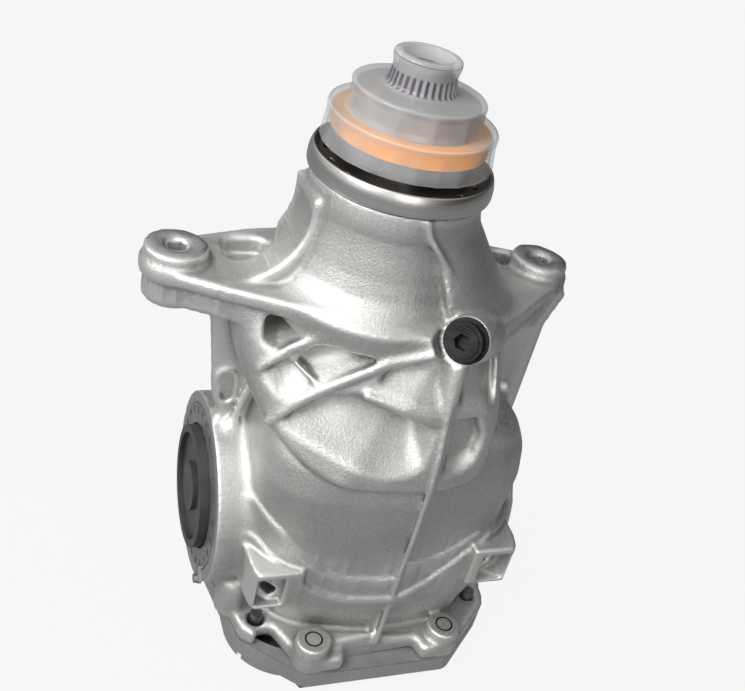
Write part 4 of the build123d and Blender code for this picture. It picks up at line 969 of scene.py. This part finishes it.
def cast_recipe(place):
    """Blasted grain everywhere, and tool marks on pads, output faces and the nose's top."""
    grain = place.noise(1250.0, 2.0, 0.7)
    fine = place.noise(520.0, 3.0, 0.6)
    cloud = place.noise(22.0, 3.0, 0.5)
    marks = place.noise(260.0, 2.0, 0.6)
    edge = place.node("Attribute", settings={"attribute_name": "edge"}, output="Fac")
    pad, pad_aside = near_pad(place)
    face, face_aside = at_outputs(place)
    machined = (pad + face + place.part("Z").ramp(328.2, 328.7)).capped()
    swirl = (pad_aside * 5.5 + marks * 9.0).wave()
    turned_marks = (face_aside * 4.0 + marks * 2.0).wave()
    tone = cloud * 0.35 + fine * 0.35 + grain * 0.3
    skin_colour = tone.ramp(0.3, 0.7).colours(CAST_DARK, CAST_LIGHT)
    # Outer edges: lighter, as rubbed wear and a painted highlight.
    worn_and_highlit = edge.ramp(0.05, 0.6, 0.0, 0.6).colours(skin_colour, EDGE_WEAR_AND_HIGHLIGHT)
    # Hollows: darker, as painted shade.
    hollow_shaded = edge.ramp(-0.1, -0.7, 0.0, 0.5).colours(worn_and_highlit, HOLLOW_PAINTED_SHADE)
    pad_colour = (swirl * 0.5 + marks * 0.5).colours(PAD_DARK, PAD_LIGHT)
    face_colour = (turned_marks * 0.4 + marks * 0.6).colours(FACE_DARK, FACE_LIGHT)
    colour = pad.colours(face.colours(hollow_shaded, face_colour), pad_colour)
    rough = (grain * 0.10 + cloud * 0.10 + 0.42) * (1.0 - machined)
    height = (grain * 0.55 + fine * 0.45) * (1.0 - machined)
    # The rings round the bolt ends are painted black as the shade in their gaps.
    return {"Base Color": stud_gap_shade(place).colours(colour, GAP_PAINTED_SHADE),
            "Roughness": rough + machined * (0.26 + marks * 0.14),
            "Metallic": 1.0 - face * 0.3,
            "Normal": (height + machined * (swirl * 0.05 + 0.4)).bump(0.85, 0.0006)}


material("cast_aluminium", cast_recipe)

# %% [markdown]
# ### Turned metal
#
# Steel pieces, adjusting rings and iron castings differ in tone and gloss, but all show fine marks
# that run round or along them. One recipe serves them all: noise stretched along two directions
# makes the lines, and slower noise the stains.

# %% Turned metal
def turned_recipe(dark, light, rough, bump):
    """Metal with fine tool marks round the pinion axis, shown by stretched noise."""
    def recipe(place):
        lines = place.noise(420.0, 3.0, 0.6, (0.15, 0.15, 5.0))
        spots = place.noise(90.0, 2.0, 0.5)
        tone = lines * 0.6 + spots * 0.4
        return {"Base Color": tone.ramp(0.3, 0.7).colours(dark, light),
                "Roughness": tone * 0.16 + rough,
                "Normal": lines.bump(bump, 0.0001)}
    return recipe


# Each metal: its dark and light colour, roughness, bump and how metallic it is
METALS = {
    "machined_steel": ((0.46, 0.46, 0.47), (0.66, 0.66, 0.67), 0.24, 0.2, 1.0),
    "dark_steel": ((0.12, 0.12, 0.125), (0.26, 0.26, 0.27), 0.30, 0.2, 1.0),
    "bright_ring": ((0.19, 0.19, 0.195), (0.30, 0.30, 0.305), 0.30, 0.2, 0.7),
    "case_iron": ((0.16, 0.155, 0.15), (0.27, 0.265, 0.26), 0.45, 0.5, 1.0),
    "plug_black": ((0.006, 0.006, 0.006), (0.045, 0.045, 0.045), 0.40, 0.8, 0.8),
}
for name, (dark, light, rough, bump, metallic) in METALS.items():
    material(name, turned_recipe(dark, light, rough, bump), Metallic=metallic)

# %% [markdown]
# ### The dust ring's steel
#
# The pressed ring is dark and stained in its dish, painted black in its slots as the shade seen
# through a hole, and rubbed bright on the lip and the outer band. Three pieces in three colours
# would show seams, so one material changes with the distance from the axis and with the height.

# %% Dust ring's steel
DISH_DARK, DISH_LIGHT = (0.13, 0.125, 0.12), (0.27, 0.26, 0.25)
RIM_DARK, RIM_LIGHT = (0.42, 0.415, 0.41), (0.70, 0.695, 0.69)
# The slots' black is painted shade.
SLOT_PAINTED_SHADE = (0.008, 0.008, 0.008)


def dust_recipe(place):
    """Dark dished face, slots painted black as the shade seen through them, a bright rubbed lip
    and a brushed outer band.
    """
    x, y, z = place.parts()
    aside = x.away(y)
    lines = place.noise(300.0, 3.0, 0.6, (0.12, 0.12, 7.0))
    stains = place.noise(60.0, 3.0, 0.6)
    band = aside.ramp(48.6, 49.4)
    # Painted shade: the slots are black, as the dark seen through a hole.
    slot = z.ramp(337.5, 337.1) * aside.ramp(46.0, 45.6) * aside.ramp(39.0, 39.6)
    dish = (lines * 0.4 + stains * 0.6).colours(DISH_DARK, DISH_LIGHT)
    rim = (lines * 0.7 + stains * 0.3).colours(RIM_DARK, RIM_LIGHT)
    return {"Base Color": slot.colours(band.colours(dish, rim), SLOT_PAINTED_SHADE),
            "Roughness": lines * 0.15 + band.ramp(0.0, 1.0, 0.34, 0.24),
            "Normal": lines.bump(0.25, 0.0001)}


material("dust_ring_steel", dust_recipe, Metallic=1.0)

# %% [markdown]
# ### Milky plastic
#
# The cap is milky polythene: it lets light and the orange band through. Real scattering in a thin
# wall is slow to render and doesn't export, so its alpha is below one instead, higher near the
# shoulder and in the flow lines. Dark splines show through the top tube, and soft panels on the
# skirt.

# %% Milky plastic
MILK_DARK, MILK_LIGHT = (0.34, 0.345, 0.35), (0.50, 0.50, 0.50)
SPLINE_DARK, PANELS = (0.10, 0.085, 0.11), 12.0


def cap_recipe(place):
    """Milky plastic: whiter in the flow lines, clearer at the skirt, splined at the top tube."""
    x, y, z = place.parts()
    flow = place.noise(30.0, 3.0, 0.6, (1.0, 1.0, 0.25))
    grain = place.noise(900.0, 2.0, 0.6)
    turn = x.math("ARCTAN2", y, x)
    splines = (turn * FLUTES).wave().ramp(0.35, 0.65)
    splines = splines * z.ramp(380.5, 381.5) * z.ramp(390.0, 388.5)
    panels = (turn * PANELS).wave() * z.ramp(361.0, 358.0)
    milk = flow.colours(MILK_DARK, MILK_LIGHT)
    clear = z.ramp(359.0, 366.0, 0.20, 0.48) + flow * 0.12 + panels * 0.10 + splines * 0.2
    return {"Base Color": splines.colours(milk, SPLINE_DARK),
            "Alpha": clear, "Roughness": grain * 0.10 + 0.28,
            "Normal": (grain * 0.3 + flow).bump(0.15, 0.0003)}


material("clear_plastic", cap_recipe, Coat_Weight=0.3, Coat_Roughness=0.12)

# %% [markdown]
# ### The orange band
#
# A thin orange band lies inside the cap's skirt. Seen through the milky wall it still looks bright
# at the front, so it is given a painted glow of its own that makes up for what the wall takes. Its
# orange and its glow are painted light: stronger towards the front and a little left, and paler to
# the sides.

# %% Orange band
# The side colour and glow are painted shade; the front ones are painted light and a painted glow.
SIDE_SHADED_ORANGE, FRONT_LIT_ORANGE = (0.80, 0.50, 0.24), (1.0, 0.34, 0.0)
SIDE_PAINTED_GLOW, FRONT_PAINTED_GLOW = (0.05, 0.025, 0.005), (1.0, 0.38, 0.0)


def liner_recipe(place):
    """Orange and a painted glow, both strongest where the place points to the front of the cap
    and a little left.
    """
    toward_front = (place.part("X") * -0.30 - place.part("Y") * 0.95) / 43.0
    speckle = place.noise(120.0, 3.0, 0.6)
    # Painted light: the orange and its glow are stronger towards the front and a little left.
    painted_light_share = toward_front.ramp(0.3, 0.9) * 0.85 + speckle * 0.15
    return {"Base Color": painted_light_share.colours(SIDE_SHADED_ORANGE, FRONT_LIT_ORANGE),
            "Emission Color": painted_light_share.colours(SIDE_PAINTED_GLOW, FRONT_PAINTED_GLOW),
            "Roughness": speckle * 0.2 + 0.4, "Normal": speckle.bump(0.2, 0.0003)}


material("orange_plastic", liner_recipe, Emission_Strength=0.55)

# %% [markdown]
# ### Plugs, seals and gasket
#
# Moulded plastic, rubber and the gasket sheet have no marks with a direction, only a fine grain
# and a faint cloudiness, so they share one recipe of two plain noises.

# %% Plugs, seals and gasket
def grained_recipe(dark, light, rough, depth=0.0002):
    """Moulded plastic or rubber: fine grain and a faint cloudiness."""
    def recipe(place):
        grain = place.noise(1100.0, 2.0, 0.6)
        cloud = place.noise(45.0, 2.0, 0.5)
        return {"Base Color": (grain * 0.3 + cloud * 0.7).ramp(0.3, 0.7).colours(dark, light),
                "Roughness": grain * 0.15 + rough, "Normal": grain.bump(0.35, depth)}
    return recipe


PLUG_COLOURS = (0.020, 0.020, 0.021), (0.045, 0.045, 0.047)
RUBBER_COLOURS = (0.016, 0.016, 0.016), (0.035, 0.034, 0.033)
GASKET_COLOURS = (0.20, 0.20, 0.20), (0.30, 0.30, 0.30)
material("black_plastic", grained_recipe(*PLUG_COLOURS, 0.36))
material("seal_rubber", grained_recipe(*RUBBER_COLOURS, 0.55, 0.0004))
material("gasket_grey", grained_recipe(*GASKET_COLOURS, 0.5), Metallic=0.6)

# %% [markdown]
# ## Finishes of all pieces
#
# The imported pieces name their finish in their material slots, so the new materials are looked up
# by those names. Two pieces get a finish of their own that their slot doesn't name, and the three
# new meshes get theirs directly.

# %% Finishes of all pieces
OWN_FINISHES = {"cover_gasket": "gasket_grey", "filler_plug": "plug_black"}
NEW_PIECES = ((housing, "cast_aluminium"), (cap, "clear_plastic"), (dust_ring, "dust_ring_steel"))
for name, piece in nodes.items():
    for slot in piece.material_slots:
        slot_name = slot.material.name.split(".")[0]
        slot.material = FINISHES[OWN_FINISHES.get(name, slot_name)]
for piece, finish in NEW_PIECES:
    piece.data.materials.append(FINISHES[finish])
print("finishes given to", len(nodes), "nodes and", len(NEW_PIECES), "new pieces")

# %% [markdown]
# ## Camera
#
# The picture was taken from the left of the front, looking down, with the camera tilted. Such a
# view could be found by eye, but it is surer to work it out from points that show in the picture
# and in the drawing. The result is three angles, a target, a distance and a focal length in
# pixels. Three unit vectors then make the camera's turn: right, up, and back from the target.

# %% Camera
AZIMUTH, ELEVATION, ROLL = -0.454, 0.575, 0.259
TARGET, DISTANCE = Vector((8.64, -4.556, 218.0)) / 1000.0, 0.5954
SENSOR_WIDTH, FOCAL_PIXELS, PHOTO_WIDTH = 36.0, 976.0, 745.0
level = np.cos(ELEVATION)
back = Vector((np.sin(AZIMUTH) * level, -np.cos(AZIMUTH) * level, np.sin(ELEVATION)))
right = Vector((np.cos(AZIMUTH), np.sin(AZIMUTH), 0.0))
up = back.cross(right)
camera_right = right * np.cos(ROLL) + up * np.sin(ROLL)
camera_up = up * np.cos(ROLL) - right * np.sin(ROLL)
camera_data = bpy.data.cameras.new("camera")
camera_data.sensor_width = SENSOR_WIDTH
camera_data.lens = FOCAL_PIXELS * SENSOR_WIDTH / PHOTO_WIDTH
camera = bpy.data.objects.new("camera", camera_data)
bpy.context.scene.collection.objects.link(camera)
turn = Matrix((camera_right, camera_up, back)).transposed().to_4x4()
camera.matrix_world = Matrix.Translation(TARGET + back * DISTANCE) @ turn
bpy.context.scene.camera = camera
print("camera with a lens of", round(camera_data.lens, 2), "mm")

# %% [markdown]
# ## Floor and room
#
# The floor is a pale sheet that shows as white and still takes the object's shadow. More light
# would turn it white too, but it would wash out the metal. So a ray that comes straight from the
# camera, or through the cap, sees plain white, and any other ray sees a grey sheet that reflects
# little light. The room is made the same way: white to the camera, and for the metal a dark room
# that is bright on the upper left.

# %% White for the camera
CAMERA_SHARE, PLAIN_WHITE = 0.9, (1.0, 1.0, 1.0)


def shown_white(tree, mirror_share):
    """How white a ray sees: 0.9 from the camera, 1 through plastic, a share in a mirror."""
    path = tree.nodes.new("ShaderNodeLightPath")
    kinds = ("Is Camera Ray", "Is Glossy Ray", "Is Transmission Ray")
    straight, mirrored, through = (Wire(tree, path.outputs[kind]) for kind in kinds)
    return (straight * CAMERA_SHARE + mirrored * mirror_share + through).capped()


# %% Floor
FLOOR_HALF, FLOOR_GLOSS, FLOOR_GREY = 30.0, 0.12, (0.22, 0.22, 0.22)
floor_mesh = bpy.data.meshes.new("floor")
floor_corners = [(x * FLOOR_HALF, y * FLOOR_HALF, 0.0)
                 for x, y in ((-1, -1), (1, -1), (1, 1), (-1, 1))]
floor_mesh.from_pydata(floor_corners, [], [(0, 1, 2, 3)])
floor = bpy.data.objects.new("floor", floor_mesh)
bpy.context.scene.collection.objects.link(floor)
floor_paint = bpy.data.materials.new("floor_paint")
floor_paint.use_nodes = True
tree = floor_paint.node_tree
tree.nodes.clear()
seen = shown_white(tree, FLOOR_GLOSS)
plain = seen.node("BsdfDiffuse", {"Color": (*FLOOR_GREY, 1.0)})
white = seen.node("Emission", {"Color": (*PLAIN_WHITE, 1.0), "Strength": 1.0})
mixed = seen.node("MixShader", {0: seen, 1: plain, 2: white})
tree.links.new(mixed.socket, tree.nodes.new("ShaderNodeOutputMaterial").inputs["Surface"])
floor_mesh.materials.append(floor_paint)
print("floor of", 2 * FLOOR_HALF, "metres")

# %% Room
LIGHT_SIDE = (-0.62, -0.15, 0.77)
ROOM_DARK, ROOM_LIGHT = (0.025, 0.025, 0.027), (0.95, 0.945, 0.935)
world = bpy.data.worlds.new("studio")
bpy.context.scene.world = world
world.use_nodes = True
tree = world.node_tree
room = tree.nodes["Background"]
toward = Wire(tree, tree.nodes.new("ShaderNodeTexCoord").outputs["Generated"])
directions = {0: toward, 1: LIGHT_SIDE}
lit_side = toward.node("VectorMath", directions, {"operation": "DOT_PRODUCT"}, "Value")
room_colour = lit_side.ramp(-0.35, 0.9).colours(ROOM_DARK, ROOM_LIGHT)
room_colour = shown_white(tree, 0.0).colours(room_colour, PLAIN_WHITE)
tree.links.new(room_colour.socket, room.inputs["Color"])
room.inputs["Strength"].default_value = 1.0
bpy.context.scene.view_settings.view_transform = "Standard"
print("room of", len(tree.nodes), "nodes")

# %% [markdown]
# ## Lamps
#
# One large soft lamp hangs up on the left and a weaker one at the front, and the right side stays
# in shade, so the ribs and hollows of the casting show. Small or far lamps would give hard shadows
# that hide the pockets.

# %% Lamps
# Each lamp: its name, its place, what it points at, its side in metres and its power in watts
LAMPS = (
    ("key", (-0.75, -0.35, 0.95), (0.0, 0.0, 0.2), 0.6, 12.0),
    ("front", (-0.15, -1.3, 0.7), (0.0, 0.0, 0.18), 0.6, 3.0),
)
for name, place, aim, size, power in LAMPS:
    lamp_data = bpy.data.lights.new(name, "AREA")
    lamp_data.energy, lamp_data.size = power, size
    lamp = bpy.data.objects.new(name, lamp_data)
    direction = (Vector(place) - Vector(aim)).to_track_quat("Z", "Y").to_matrix().to_4x4()
    lamp.matrix_world = Matrix.Translation(Vector(place)) @ direction
    bpy.context.scene.collection.objects.link(lamp)
    print("lamp", name, "of", power, "W")
